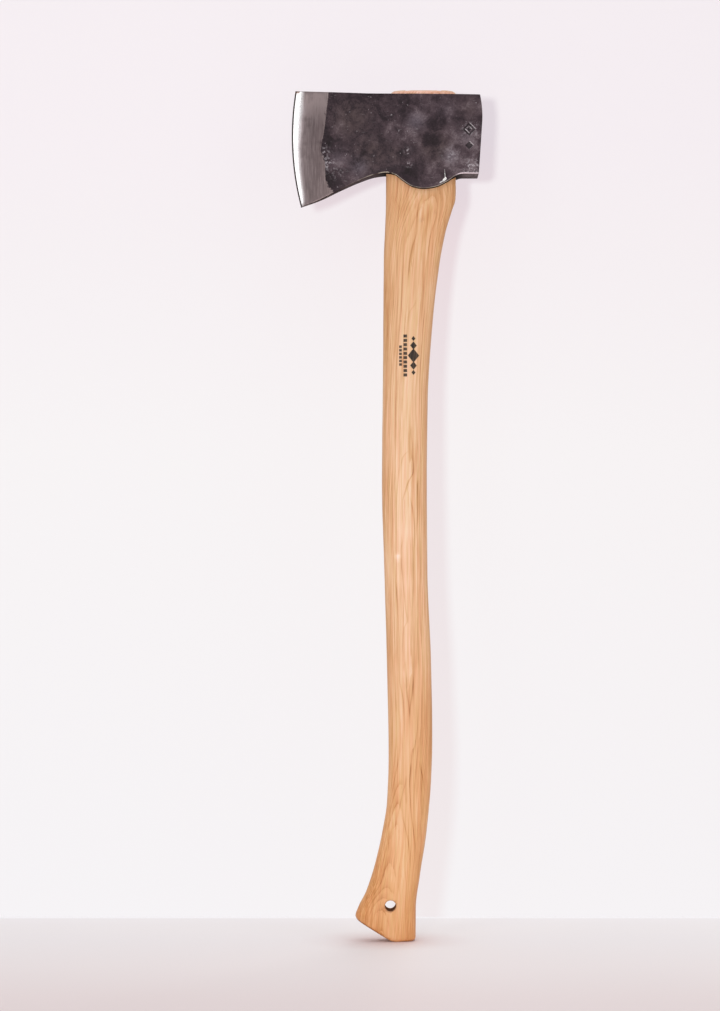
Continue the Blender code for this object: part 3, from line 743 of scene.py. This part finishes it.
# ---------------------------------------------------------------- materials
class Shader:
    """Short calls for building a material's node tree round one Principled BSDF."""

    def __init__(self, name):
        self.material = bpy.data.materials.new(name)
        self.material.use_nodes = True
        self.tree = self.material.node_tree
        self.principled = self.tree.nodes["Principled BSDF"]

    def node(self, kind, **settings):
        made = self.tree.nodes.new(kind)
        for key, value in settings.items():
            setattr(made, key, value)
        return made

    def feed(self, socket, value):
        if isinstance(value, bpy.types.NodeSocket):
            self.tree.links.new(value, socket)
        elif isinstance(value, tuple) and len(value) == 3 and socket.type == "RGBA":
            socket.default_value = (*value, 1.0)
        else:
            socket.default_value = value

    def set(self, **inputs):
        for key, value in inputs.items():
            self.feed(self.principled.inputs[key.replace("_", " ")], value)

    def attribute(self, name):
        return self.node("ShaderNodeAttribute", attribute_name=name).outputs["Fac"]

    def vector(self, name):
        return self.node("ShaderNodeAttribute", attribute_name=name).outputs["Vector"]

    def place(self):
        return self.node("ShaderNodeTexCoord").outputs["Object"]

    def parts(self, vector):
        """The vector's X, Y and Z."""
        made = self.node("ShaderNodeSeparateXYZ")
        self.feed(made.inputs[0], vector)
        return tuple(made.outputs)

    def upward(self):
        """How far the surface faces up, from -1 to 1."""
        return self.parts(self.node("ShaderNodeNewGeometry").outputs["Normal"])[2]

    def stretched(self, x, y, z, vector=None):
        mapping = self.node("ShaderNodeMapping")
        self.feed(mapping.inputs["Vector"], vector or self.place())
        mapping.inputs["Scale"].default_value = (x, y, z)
        return mapping.outputs["Vector"]

    def ramp(self, value, *stops):
        """A colour for the value from (place, colour) stops."""
        made = self.node("ShaderNodeValToRGB")
        elements = made.color_ramp.elements
        while len(elements) < len(stops):
            elements.new(0.5)
        for element, (place, colour) in zip(elements, stops):
            element.position, element.color = place, (*colour, 1.0)
        self.feed(made.inputs["Fac"], value)
        return made.outputs["Color"]

    def noise(self, vector, scale, detail=3.0, rough=0.55, distortion=0.0):
        made = self.node("ShaderNodeTexNoise")
        self.feed(made.inputs["Vector"], vector)
        made.inputs["Scale"].default_value = scale
        made.inputs["Detail"].default_value = detail
        made.inputs["Roughness"].default_value = rough
        made.inputs["Distortion"].default_value = distortion
        return made.outputs["Fac"]

    def math(self, operation, a, b=0.0, c=0.0, clamp=False):
        made = self.node("ShaderNodeMath", operation=operation, use_clamp=clamp)
        for socket, value in zip(made.inputs, (a, b, c)):
            self.feed(socket, value)
        return made.outputs[0]

    def times(self, a, b, clamp=False):
        return self.math("MULTIPLY", a, b, clamp=clamp)

    def plus(self, a, b):
        return self.math("ADD", a, b)

    def minus(self, a, b):
        return self.math("SUBTRACT", a, b)

    def larger(self, a, b):
        return self.math("MAXIMUM", a, b)

    def absolute(self, value):
        return self.math("ABSOLUTE", value)

    def span(self, value, low, high, to_low=0.0, to_high=1.0, smooth=True):
        """value mapped from low..high to to_low..to_high, held at both ends."""
        made = self.node("ShaderNodeMapRange", interpolation_type="SMOOTHSTEP" if smooth else "LINEAR")
        numbers = {"Value": value, "From Min": low, "From Max": high, "To Min": to_low, "To Max": to_high}
        for key, number in numbers.items():
            self.feed(made.inputs[key], number)
        return made.outputs["Result"]

    def mix(self, share, a, b, blend="MIX"):
        made = self.node("ShaderNodeMix", data_type="RGBA", blend_type=blend, clamp_factor=True)
        for k, value in ((0, share), (6, a), (7, b)):
            self.feed(made.inputs[k], value)
        return made.outputs[2]

    def lerp(self, share, a, b):
        made = self.node("ShaderNodeMix", data_type="FLOAT", clamp_factor=True)
        for k, value in ((0, share), (2, a), (3, b)):
            self.feed(made.inputs[k], value)
        return made.outputs[0]

    def total(self, start, *terms):
        """start plus each (value, weight) term, where a value is counted from its middle, 0.5."""
        for value, weight in terms:
            start = self.math("MULTIPLY_ADD", value, weight, self.minus(start, weight / 2))
        return start

    def bump(self, height, strength, distance):
        made = self.node("ShaderNodeBump")
        self.feed(made.inputs["Height"], height)
        made.inputs["Strength"].default_value = strength
        made.inputs["Distance"].default_value = distance
        return made.outputs["Normal"]

    def fade_out(self, share):
        """Turns the surface clear by this share."""
        join = self.node("ShaderNodeMixShader")
        clear = self.node("ShaderNodeBsdfTransparent")
        for socket, value in zip(join.inputs, (share, self.principled.outputs[0], clear.outputs[0])):
            self.feed(socket, value)
        self.feed(self.tree.nodes["Material Output"].inputs["Surface"], join.outputs[0])


def scale_colour(s, mottle, fine):
    """The dark, mottled forging scale, with its cool, warm, dark and speckled patches."""
    place = s.place()
    broad = s.noise(place, 48, 3, 0.5, 0.4)
    tone = s.total(0.5, (mottle, 0.85), (broad, 1.15), (fine, 0.45))
    tone = s.minus(tone, s.times(s.span(s.attribute("scale_mm"), 11.0, 0.5), 0.16))
    tone = s.minus(tone, s.times(s.attribute("dark"), 0.16))
    tone = s.plus(tone, s.times(s.attribute("speck"), 0.08))
    tone = s.plus(tone, s.span(s.attribute("scale_mm"), 55.0, 135.0, -0.04, 0.14))
    colour = s.ramp(tone, (0.16, (0.012, 0.0075, 0.009)), (0.36, (0.028, 0.018, 0.023)),
                    (0.5, (0.048, 0.0315, 0.038)), (0.64, (0.077, 0.053, 0.062)),
                    (0.84, (0.155, 0.12, 0.132)))
    rough_edge = s.span(tone, 0.3, 0.62, 0.1, 1.0)
    for name, share, paint in (("warm", 0.6, (0.1, 0.072, 0.064)), ("cool", 0.42, (0.15, 0.135, 0.165))):
        colour = s.mix(s.times(s.times(s.attribute(name), rough_edge), share), colour, paint)
    wiry = s.noise(s.stretched(1.0, 1.0, 5.0), 240, 2, 0.5, 0.6)
    wiry = s.times(s.span(wiry, 0.66, 0.72), s.span(broad, 0.42, 0.58))
    colour = s.mix(s.times(wiry, 0.4), colour, (0.24, 0.22, 0.23))
    speckle = s.noise(place, 430, 3, 0.7)
    specks = s.times(s.span(speckle, 0.5, 0.62), s.attribute("speck"), clamp=True)
    colour = s.mix(s.times(specks, 0.9), colour, (0.5, 0.46, 0.49))
    loose = s.times(s.span(s.noise(place, 330, 2, 0.7), 0.7, 0.74), 0.6)
    return s.mix(loose, colour, (0.34, 0.31, 0.33))


def ground_colour(s, streak, cloud):
    """The ground bevel: grey and finely streaked along the edge, darkest a little behind the honed band, with
    a painted reflection that makes it lighter towards its top and darker low down.
    """
    back = s.span(s.attribute("honed_mm"), 0.0, 24.0, smooth=False)
    below = s.attribute("upper_rim_mm")
    colour = s.ramp(back, (0.0, (0.4, 0.35, 0.36)), (0.05, (0.255, 0.214, 0.22)),
                    (0.13, (0.16, 0.128, 0.131)), (0.5, (0.108, 0.083, 0.085)),
                    (0.78, (0.112, 0.085, 0.087)), (1.0, (0.15, 0.115, 0.115)))
    # The first two are painted reflection: lighter near the top line and darker low down. The rest are the
    # steel's streaks and clouds.
    for share, paint in (
        (s.span(below, 34.0, 3.0, 0.0, 0.9), (0.268, 0.215, 0.215)),
        (s.span(below, 50.0, 95.0, 0.0, 0.6), (0.09, 0.07, 0.07)),
        (s.span(streak, 0.44, 0.72, 0.0, 0.4), (0.215, 0.175, 0.177)),
        (s.span(streak, 0.5, 0.28, 0.0, 0.35), (0.06, 0.046, 0.046)),
        (s.span(cloud, 0.5, 0.72, 0.0, 0.4), (0.068, 0.053, 0.053)),
    ):
        colour = s.mix(share, colour, paint)
    return colour


def bare_steel_colour(s, streak, honed, keen):
    """The steel without scale: ground, then honed, then the keen edge itself, painted almost black as a
    painted dark reflection and dull at its two corners; the lower rim gets painted shade.
    """
    cloud = s.noise(s.place(), 90, 3, 0.55)
    corner = s.times(s.span(s.attribute("upper_rim_mm"), 3.0, 1.4), s.span(s.attribute("edge_mm"), 5.0, 3.4))
    low_rim = s.span(s.attribute("lower_rim_mm"), 1.3, 0.4)
    colour = s.mix(honed, ground_colour(s, streak, cloud), (0.54, 0.525, 0.53))
    # Painted dark reflection: the keen edge is painted almost black.
    colour = s.mix(keen, colour, (0.055, 0.042, 0.04))
    colour = s.mix(s.times(corner, 0.85), colour, (0.11, 0.06, 0.04))
    # Painted shade along the lower rim, which faces down.
    return s.mix(s.times(low_rim, 0.6), colour, (0.05, 0.038, 0.036))


def scale_share(s, mottle):
    """Where the forging scale lies, 0 to 1: behind its limit, and in a few stray islands before it."""
    wobble = s.times(s.minus(s.noise(s.place(), 650, 3, 0.65), 0.5), 1.3)
    scaled = s.span(s.plus(s.attribute("scale_mm"), wobble), -0.1, 0.35)
    stray = s.times(s.span(s.attribute("scale_mm"), -3.0, 0.0), s.span(mottle, 0.56, 0.62))
    return s.larger(scaled, s.times(stray, 0.8))


def bright_rim(s, worn, poll):
    """The lower rim where it is worn bright, 0 to 1: a thin line, wider and more broken towards the poll."""
    rim = s.attribute("lower_rim_mm")
    line = s.span(rim, s.lerp(poll, 1.05, 1.5), s.lerp(poll, 0.65, 1.0))
    line = s.times(line, s.span(rim, 0.05, 0.35))
    line = s.times(line, s.span(worn, s.lerp(poll, 0.34, 0.1), s.lerp(poll, 0.5, 0.45)))
    return s.times(line, s.attribute("rim_shine"))


def steel_material():
    s = Shader("forged_steel_finish")
    place = s.place()
    mottle = s.noise(place, 120, 5, 0.62, 0.6)
    fine = s.noise(place, 760, 3, 0.7)
    streak = s.noise(s.stretched(1.0, 1.0, 0.1), 620, 4, 0.62)
    worn = s.noise(place, 150, 3, 0.6)

    wander = s.times(s.minus(streak, 0.5), 1.2)
    honed = s.span(s.plus(s.attribute("honed_mm"), wander), 0.9, -3.2)
    keen = s.span(s.attribute("edge_mm"), 1.7, 0.9)
    scaled = scale_share(s, mottle)
    colour = s.mix(scaled, bare_steel_colour(s, streak, honed, keen), scale_colour(s, mottle, fine))

    upward = s.upward()
    under = s.span(upward, -0.35, -0.85)
    level = s.larger(under, s.times(s.span(upward, 0.6, 0.9), scaled))
    # Painted shade: faces that look down are painted darker in patches, and almost black beside the handle as
    # painted contact shadow.
    colour = s.mix(s.times(under, s.span(worn, 0.35, 0.65, 0.6, 0.25)), colour, (0.06, 0.04, 0.034))
    colour = s.mix(s.times(under, s.attribute("by_handle")), colour, (0.01, 0.006, 0.004))
    poll = s.span(s.attribute("scale_mm"), 116.0, 122.0)
    line = bright_rim(s, worn, poll)
    nick = s.span(s.attribute("nick"), 0.15, 0.95)
    # Painted highlight on the upper right rims of the struck mark.
    burr = s.times(s.attribute("stamp_rim"), s.span(worn, 0.3, 0.5))
    colour = s.mix(s.times(line, 0.85), colour, s.mix(poll, (0.56, 0.5, 0.41), (0.68, 0.58, 0.62)))
    # Painted glint: the nick is painted near white, brighter than the bare steel round it.
    colour = s.mix(nick, colour, (0.74, 0.73, 0.72))
    colour = s.mix(s.times(s.attribute("stamp"), 0.75), colour, (0.01, 0.008, 0.009))
    colour = s.mix(s.times(burr, 0.85), colour, (0.5, 0.46, 0.48))

    clean = s.minus(1.0, scaled)
    bare = s.larger(clean, s.larger(s.times(line, 0.8), s.larger(nick, s.times(burr, 0.6))))
    polished = s.times(s.times(honed, clean), s.minus(1.0, keen))
    rough = s.lerp(bare, s.span(mottle, 0.3, 0.7, 0.46, 0.6), s.span(streak, 0.3, 0.7, 0.32, 0.42))
    rough = s.lerp(polished, rough, 0.17)
    relief = s.plus(s.times(s.plus(fine, mottle), scaled), s.times(s.times(streak, clean), 0.25))
    metal = s.times(s.math("MULTIPLY_ADD", bare, 0.7, 0.3), s.span(level, 0.0, 1.0, 1.0, 0.1, smooth=False))
    s.set(Base_Color=colour, Metallic=metal, Roughness=s.lerp(level, rough, 0.8),
          Specular_IOR_Level=s.lerp(level, 0.18, 0.05), Normal=s.bump(relief, 0.45, 0.00025))
    return s.material


def vein_lines(s, wander):
    """The single grain lines: each is sharp on one side and fades out on the other."""
    total = 0.0
    for k in range(len(VEINS_MM)):
        across, strength, _ = s.parts(s.vector(f"vein_{k}"))
        beside = s.plus(across, wander)
        line = s.span(s.absolute(beside), 0.95, 0.15)
        flank = s.times(s.span(beside, -0.2, 0.2), s.span(beside, 2.6, 0.4))
        line = s.math("MULTIPLY_ADD", flank, 0.35, line)
        total = s.math("MULTIPLY_ADD", line, strength, total)
    return total


class Grain:
    """The hickory's figure, drawn from the ring count and from the straightened place, in metres."""

    def __init__(self, s):
        vector = s.vector("grain")
        self.across, _, self.height = s.parts(vector)
        ripple = s.noise(s.stretched(1.0, 1.0, 0.09, vector), 230, 3, 0.55)
        counted = s.plus(s.attribute("rings"), s.times(s.minus(ripple, 0.5), 0.5))
        share = s.math("FRACT", counted)
        which = s.node("ShaderNodeTexWhiteNoise", noise_dimensions="1D")
        s.feed(which.inputs["W"], s.math("FLOOR", counted))
        lots = s.node("ShaderNodeSeparateColor")
        s.feed(lots.inputs[0], which.outputs["Color"])
        strength = s.span(lots.outputs["Red"], 0.0, 1.0, 0.25, 1.0, smooth=False)
        self.ring_tone = lots.outputs["Green"]

        broken = s.noise(s.stretched(1.0, 1.0, 0.12, vector), 210, 2, 0.5)
        crest = s.span(s.absolute(self.across), 0.0, 0.0065, 0.3, 1.0)
        closing = s.span(share, 1.0, 0.965)
        sharp = s.times(s.times(s.span(share, 0.72, 0.95), closing), strength)
        self.sharp = s.times(s.times(sharp, s.span(broken, 0.36, 0.58, 0.12, 1.0)), crest)
        self.soft = s.times(s.times(s.span(share, 0.15, 0.9), closing), crest)
        self.veins = vein_lines(s, s.times(s.minus(broken, 0.5), 1.2))
        early = s.times(s.span(share, 0.0, 0.02), s.span(share, 0.2, 0.04))
        pores = s.noise(s.stretched(1.0, 1.0, 0.03, vector), 1500, 2, 0.6)
        self.pore = s.times(s.times(early, s.span(pores, 0.5, 0.6)), strength)
        self.fibre = s.noise(s.stretched(1.0, 1.0, 0.02, vector), 1150, 3, 0.6)
        self.streak = s.noise(s.stretched(1.0, 1.0, 0.03, vector), 430, 3, 0.6)
        self.cloud = s.noise(s.stretched(1.0, 1.0, 0.22, vector), 42, 2, 0.5)
        self.rosy = s.noise(s.stretched(1.0, 1.0, 0.035, vector), 520, 2, 0.5, 0.2)


def wood_colour(s, grain):
    """The oiled long grain: a tone from the figure, then the oil's tint, rosy and yellow streaks, knots."""
    sideways = s.span(s.absolute(grain.across), 0.004, 0.019)
    middle = s.times(s.span(sideways, 0.5, 0.0), s.span(grain.height, 0.52, 0.44))
    heel = s.times(s.span(grain.across, 0.002, 0.012), s.span(grain.height, 0.13, 0.06))
    tone = s.total(0.6, (s.span(grain.fibre, 0.34, 0.66), 0.15), (grain.streak, 0.7), (grain.cloud, 0.35),
                   (grain.ring_tone, 0.13))
    # Among these, painted contact shade together with darker oiled end grain darkens the lowest 1.5 mm above
    # the sole.
    for value, weight in (
        (sideways, -0.09), (grain.soft, -0.1), (grain.sharp, -0.22), (grain.pore, -0.2), (middle, 0.07),
        (grain.veins, -0.62), (s.attribute("foot"), -0.5), (heel, -0.06), (s.attribute("pale"), 0.45),
        (s.span(grain.height, 0.26, 0.1), 0.05),
    ):
        tone = s.math("MULTIPLY_ADD", value, weight, tone)
    colour = s.ramp(tone, (0.02, (0.33, 0.12, 0.036)), (0.22, (0.59, 0.275, 0.108)),
                    (0.4, (0.73, 0.39, 0.186)), (0.58, (0.85, 0.515, 0.285)), (0.78, (0.92, 0.62, 0.405)),
                    (1.0, (0.97, 0.76, 0.6)))
    colour = s.mix(1.0, colour, s.vector("tint"), "MULTIPLY")
    colour = s.mix(s.span(grain.rosy, 0.5, 0.68, 0.0, 0.8), colour, (1.0, 0.905, 0.905), "MULTIPLY")
    colour = s.mix(s.span(grain.rosy, 0.48, 0.34, 0.0, 0.8), colour, (0.965, 1.0, 0.915), "MULTIPLY")
    return s.mix(s.times(s.attribute("knot"), 0.85), colour, (0.15, 0.055, 0.025))


def hickory_material():
    s = Shader("oiled_hickory")
    grain = Grain(s)
    dots = s.noise(s.place(), 1900, 2, 0.6)
    ended = s.mix(s.span(dots, 0.5, 0.64, 0.0, 0.5), (0.69, 0.44, 0.27), (0.36, 0.185, 0.095))
    ended = s.mix(s.times(grain.sharp, 0.5), ended, (0.42, 0.22, 0.11))
    end_grain = s.span(s.absolute(s.upward()), 0.6, 0.9)
    colour = s.mix(s.times(end_grain, 0.8), wood_colour(s, grain), ended)
    # Painted shade inside the lanyard hole: its wall is painted dark brown and dull.
    bored = s.attribute("bore")
    colour = s.mix(s.times(bored, 0.9), colour, (0.36, 0.175, 0.095))
    burnt = s.times(s.attribute("mark"), s.span(grain.fibre, 0.25, 0.7, 1.0, 0.88))
    colour = s.mix(burnt, colour, (0.012, 0.01, 0.01))

    relief = s.minus(s.times(grain.fibre, 0.35), s.plus(grain.pore, s.times(grain.sharp, 0.2)))
    rough = s.plus(s.span(grain.streak, 0.3, 0.7, 0.38, 0.5), s.times(burnt, 0.25))
    s.set(Base_Color=colour, Roughness=s.lerp(bored, rough, 0.95), Normal=s.bump(relief, 0.3, 0.00022),
          Specular_IOR_Level=s.lerp(bored, 0.3, 0.0), Coat_Weight=s.lerp(bored, 0.05, 0.0),
          Coat_Roughness=0.35)
    return s.material


def wedge_wood_material():
    s = Shader("wedge_end_grain")
    grain = s.noise(s.stretched(0.25, 1.0, 1.0), 900, 3, 0.6)
    dots = s.noise(s.place(), 1700, 2, 0.6)
    colour = s.mix(s.span(grain, 0.35, 0.7), (0.8, 0.6, 0.4), (0.66, 0.45, 0.27))
    colour = s.mix(s.span(dots, 0.55, 0.66, 0.0, 0.5), colour, (0.42, 0.26, 0.14))
    s.set(Base_Color=colour, Roughness=s.span(grain, 0.3, 0.7, 0.5, 0.65), Normal=s.bump(grain, 0.3, 0.0002))
    return s.material


def struck_steel_material():
    s = Shader("struck_steel")
    place = s.place()
    blotch = s.noise(place, 500, 3, 0.6)
    scratch = s.noise(s.stretched(1.0, 9.0, 1.0), 500, 3, 0.6)
    colour = s.mix(s.span(blotch, 0.35, 0.7), (0.56, 0.55, 0.53), (0.33, 0.31, 0.29))
    s.set(Base_Color=colour, Metallic=1.0, Roughness=s.span(scratch, 0.3, 0.7, 0.26, 0.44),
          Normal=s.bump(s.plus(scratch, blotch), 0.35, 0.0002))
    return s.material


# ---------------------------------------------------------------- wedges
def dress_wedges():
    """The wedges keep their solids: a fine bevel breaks their edges, and each gets its finish."""
    finishes = {"wooden_wedge": wedge_wood_material(), "steel_wedge_front": struck_steel_material()}
    finishes["steel_wedge_rear"] = finishes["steel_wedge_front"]
    for name, finish in finishes.items():
        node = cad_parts[name]
        node.data.materials.clear()
        node.data.materials.append(finish)
        bevel = node.modifiers.new("broken_edges", "BEVEL")
        bevel.width, bevel.segments, bevel.limit_method = 0.00015, 2, "ANGLE"
        bevel.angle_limit = math.radians(40)


# ---------------------------------------------------------------- stage, light and camera
BACKDROP = (0.918, 0.898, 0.922)
SKY = (1.0, 0.985, 0.99)
SKY_STRENGTH = {"From Min": -0.3, "From Max": 0.8, "To Min": 0.3, "To Max": 0.92}  # against the way's height
WALL_FOOT_Y, WALL_TOP_Z, WALL_SIDE = 0.183, 1.6, 3.0
WALL_LEAN = (WALL_FOOT_Y - 0.0865) / 0.787  # it comes closer to the axe with height
WALL_PAINT = [  # against height; the glow is the light that the wall gives off itself
    (0.05, (0.045, 0.086, 0.094)), (0.46, (0.074, 0.12, 0.113)), (0.66, (0.09, 0.143, 0.136)),
    (0.76, (0.155, 0.169, 0.154)),
]
WALL_GLOW = [
    (0.05, (0.842, 0.748, 0.752)), (0.46, (0.796, 0.687, 0.71)), (0.66, (0.757, 0.617, 0.653)),
    (0.76, (0.638, 0.563, 0.623)),
]
FLOOR_RADIUS = 5.0
FLOOR_PAINT = [  # against y; painted light: darker towards the front, lighter towards the wall and lightest at its foot and behind it
    (-0.42, (0.737, 0.649, 0.652)), (-0.34, (0.763, 0.677, 0.68)), (-0.26, (0.786, 0.713, 0.717)),
    (-0.17, (0.813, 0.751, 0.756)), (0.0, (0.836, 0.794, 0.806)), (0.1, (0.863, 0.823, 0.832)),
    (0.165, (0.88, 0.846, 0.862)), (0.18, (0.975, 0.965, 0.99)),
]
NOOK_DISTANCE, NOOK_SHADE = 0.06, (0.74, 0.54, 0.52)


def painted(s, value, stops):
    """The colour for a value, from (value, colour) stops that need not run from 0 to 1."""
    low, high = stops[0][0], stops[-1][0]
    share = s.span(value, low, high, smooth=False)
    return s.ramp(share, *(((place - low) / (high - low), colour) for place, colour in stops))


def make_floor():
    """A wide, level floor that fades out far away, with painted light and shade: lighter towards the wall, a
    little darker towards +X, and painted contact shade close to the axe.
    """
    turns = full_turn(96)
    ring = np.stack([FLOOR_RADIUS * np.cos(turns), FLOOR_RADIUS * np.sin(turns), 0 * turns], 1)
    floor = mesh_object("floor", ring, [tuple(range(len(turns)))])
    s = Shader("pale_floor")
    x, y, _ = s.parts(s.place())
    paint = painted(s, y, FLOOR_PAINT)
    # Painted shade: a little darker towards +X, to even out the fill and rim lamps on that side.
    paint = s.mix(s.span(x, 0.0, 0.25), paint, s.mix(1.0, paint, (0.955,) * 3, "MULTIPLY"))
    # Painted contact shadow: ambient occlusion darkens the floor round the axe's foot.
    nook = s.node("ShaderNodeAmbientOcclusion", samples=8)
    nook.inputs["Distance"].default_value = NOOK_DISTANCE
    shade = s.span(nook.outputs["AO"], 1.0, 0.7, 0.0, 0.55, smooth=False)
    s.set(Base_Color=s.mix(shade, paint, s.mix(1.0, paint, NOOK_SHADE, "MULTIPLY")), Roughness=0.6,
          Specular_IOR_Level=0.2)
    far = s.node("ShaderNodeVectorMath", operation="LENGTH")
    s.feed(far.inputs[0], s.place())
    s.fade_out(s.span(far.outputs["Value"], 1.6, 4.6))
    floor.data.materials.append(s.material)


def make_wall():
    """A plain backdrop behind the axe that glows with painted light, more at its foot than higher up. Only a
    camera in front of it sees it.
    """
    top_y = WALL_FOOT_Y - WALL_LEAN * WALL_TOP_Z
    corners = [(-WALL_SIDE, WALL_FOOT_Y, 0), (WALL_SIDE, WALL_FOOT_Y, 0)]
    corners += [(WALL_SIDE, top_y, WALL_TOP_Z), (-WALL_SIDE, top_y, WALL_TOP_Z)]
    wall = mesh_object("backdrop", corners, [(0, 1, 2, 3)])
    if wall.data.polygons[0].normal.y > 0:
        wall.data.flip_normals()
    s = Shader("pale_backdrop")
    height = s.parts(s.place())[2]
    s.set(Base_Color=painted(s, height, WALL_PAINT), Roughness=0.9, Specular_IOR_Level=0.0,
          Emission_Color=painted(s, height, WALL_GLOW), Emission_Strength=1.0)
    aside = s.node("ShaderNodeLayerWeight").outputs["Facing"]
    behind = s.node("ShaderNodeNewGeometry").outputs["Backfacing"]
    s.fade_out(s.larger(s.span(aside, 0.16, 0.22), behind))
    wall.data.materials.append(s.material)
    wall.visible_diffuse = wall.visible_glossy = wall.visible_shadow = wall.visible_transmission = False
    return wall


def make_world():
    """Soft even light from all round, brighter from above, over the backdrop's plain colour."""
    world = bpy.data.worlds.new("studio")
    world.use_nodes = True
    bpy.context.scene.world = world
    nodes, links = world.node_tree.nodes, world.node_tree.links
    nodes.clear()
    kinds = ("TexCoord", "SeparateXYZ", "MapRange", "Background", "Background", "LightPath", "MixShader")
    place, split, ramp, lit, seen, path, join = (nodes.new(f"ShaderNode{kind}") for kind in kinds)
    for name, value in SKY_STRENGTH.items():
        ramp.inputs[name].default_value = value
    lit.inputs["Color"].default_value = (*SKY, 1)
    seen.inputs["Color"].default_value = (*BACKDROP, 1)
    for start, end in (
        (place.outputs["Generated"], split.inputs[0]), (split.outputs["Z"], ramp.inputs["Value"]),
        (ramp.outputs["Result"], lit.inputs["Strength"]), (path.outputs["Is Camera Ray"], join.inputs[0]),
        (lit.outputs[0], join.inputs[1]), (seen.outputs[0], join.inputs[2]),
        (join.outputs[0], nodes.new("ShaderNodeOutputWorld").inputs["Surface"]),
    ):
        links.new(start, end)


def area_light(name, place, aim, size, watts, colour=(1, 1, 1)):
    data = bpy.data.lights.new(name, "AREA")
    data.shape, data.size, data.size_y = "RECTANGLE", size[0], size[1]
    data.energy, data.color = watts, colour
    light = bpy.data.objects.new(name, data)
    light.location = place
    light.rotation_euler = (Vector(aim) - Vector(place)).to_track_quat("-Z", "Y").to_euler()
    bpy.context.scene.collection.objects.link(light)
    return light


def make_lights(wall):
    """A small key, its twin that only casts the shadow on the wall, a strip for the bit, a fill and a rim."""
    place, aim, size, colour = (-0.37, -2.35, 0.41), (0, 0, 0.42), (0.16, 0.16), (1.0, 0.985, 0.965)
    area_light("key", place, aim, size, 12.9, colour)
    shadow_key = area_light("shadow_key", place, aim, size, 51.6, colour)
    receivers = bpy.data.collections.new("shadow_receivers")
    receivers.objects.link(wall)
    shadow_key.light_linking.receiver_collection = receivers
    area_light("strip", (-1.24, -2.06, 1.15), (-0.1, 0, 0.73), (0.5, 1.1), 4.6)
    area_light("fill", (1.9, -2.2, 1.0), (0, 0, 0.4), (1.6, 1.6), 9)
    area_light("rim", (0.8, 2.2, 1.6), (0, 0, 0.5), (1.2, 1.2), 12)


CAMERA_PLACE, CAMERA_TILT_DEGREES, CAMERA_LENS_MM = (-0.039, -2.39, 0.3035), 2.32, 91.98


def make_camera():
    data = bpy.data.cameras.new("camera")
    data.sensor_width, data.lens = 36.0, CAMERA_LENS_MM
    camera = bpy.data.objects.new("camera", data)
    camera.location = CAMERA_PLACE
    camera.rotation_euler = Euler((math.radians(90 + CAMERA_TILT_DEGREES), 0, 0))
    bpy.context.scene.collection.objects.link(camera)
    bpy.context.scene.camera = camera


def main():
    bpy.context.scene.view_settings.view_transform = "Standard"
    head, handle = make_head(), make_handle()
    head.data.materials.append(steel_material())
    handle.data.materials.append(hickory_material())
    for piece, node, slot in ((head, "axe_head", "forged_steel"), (handle, "handle", "hickory")):
        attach(piece, "root")
        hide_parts(node)
    dress_wedges()
    make_floor()
    wall = make_wall()
    make_world()
    make_lights(wall)
    make_camera()


main()
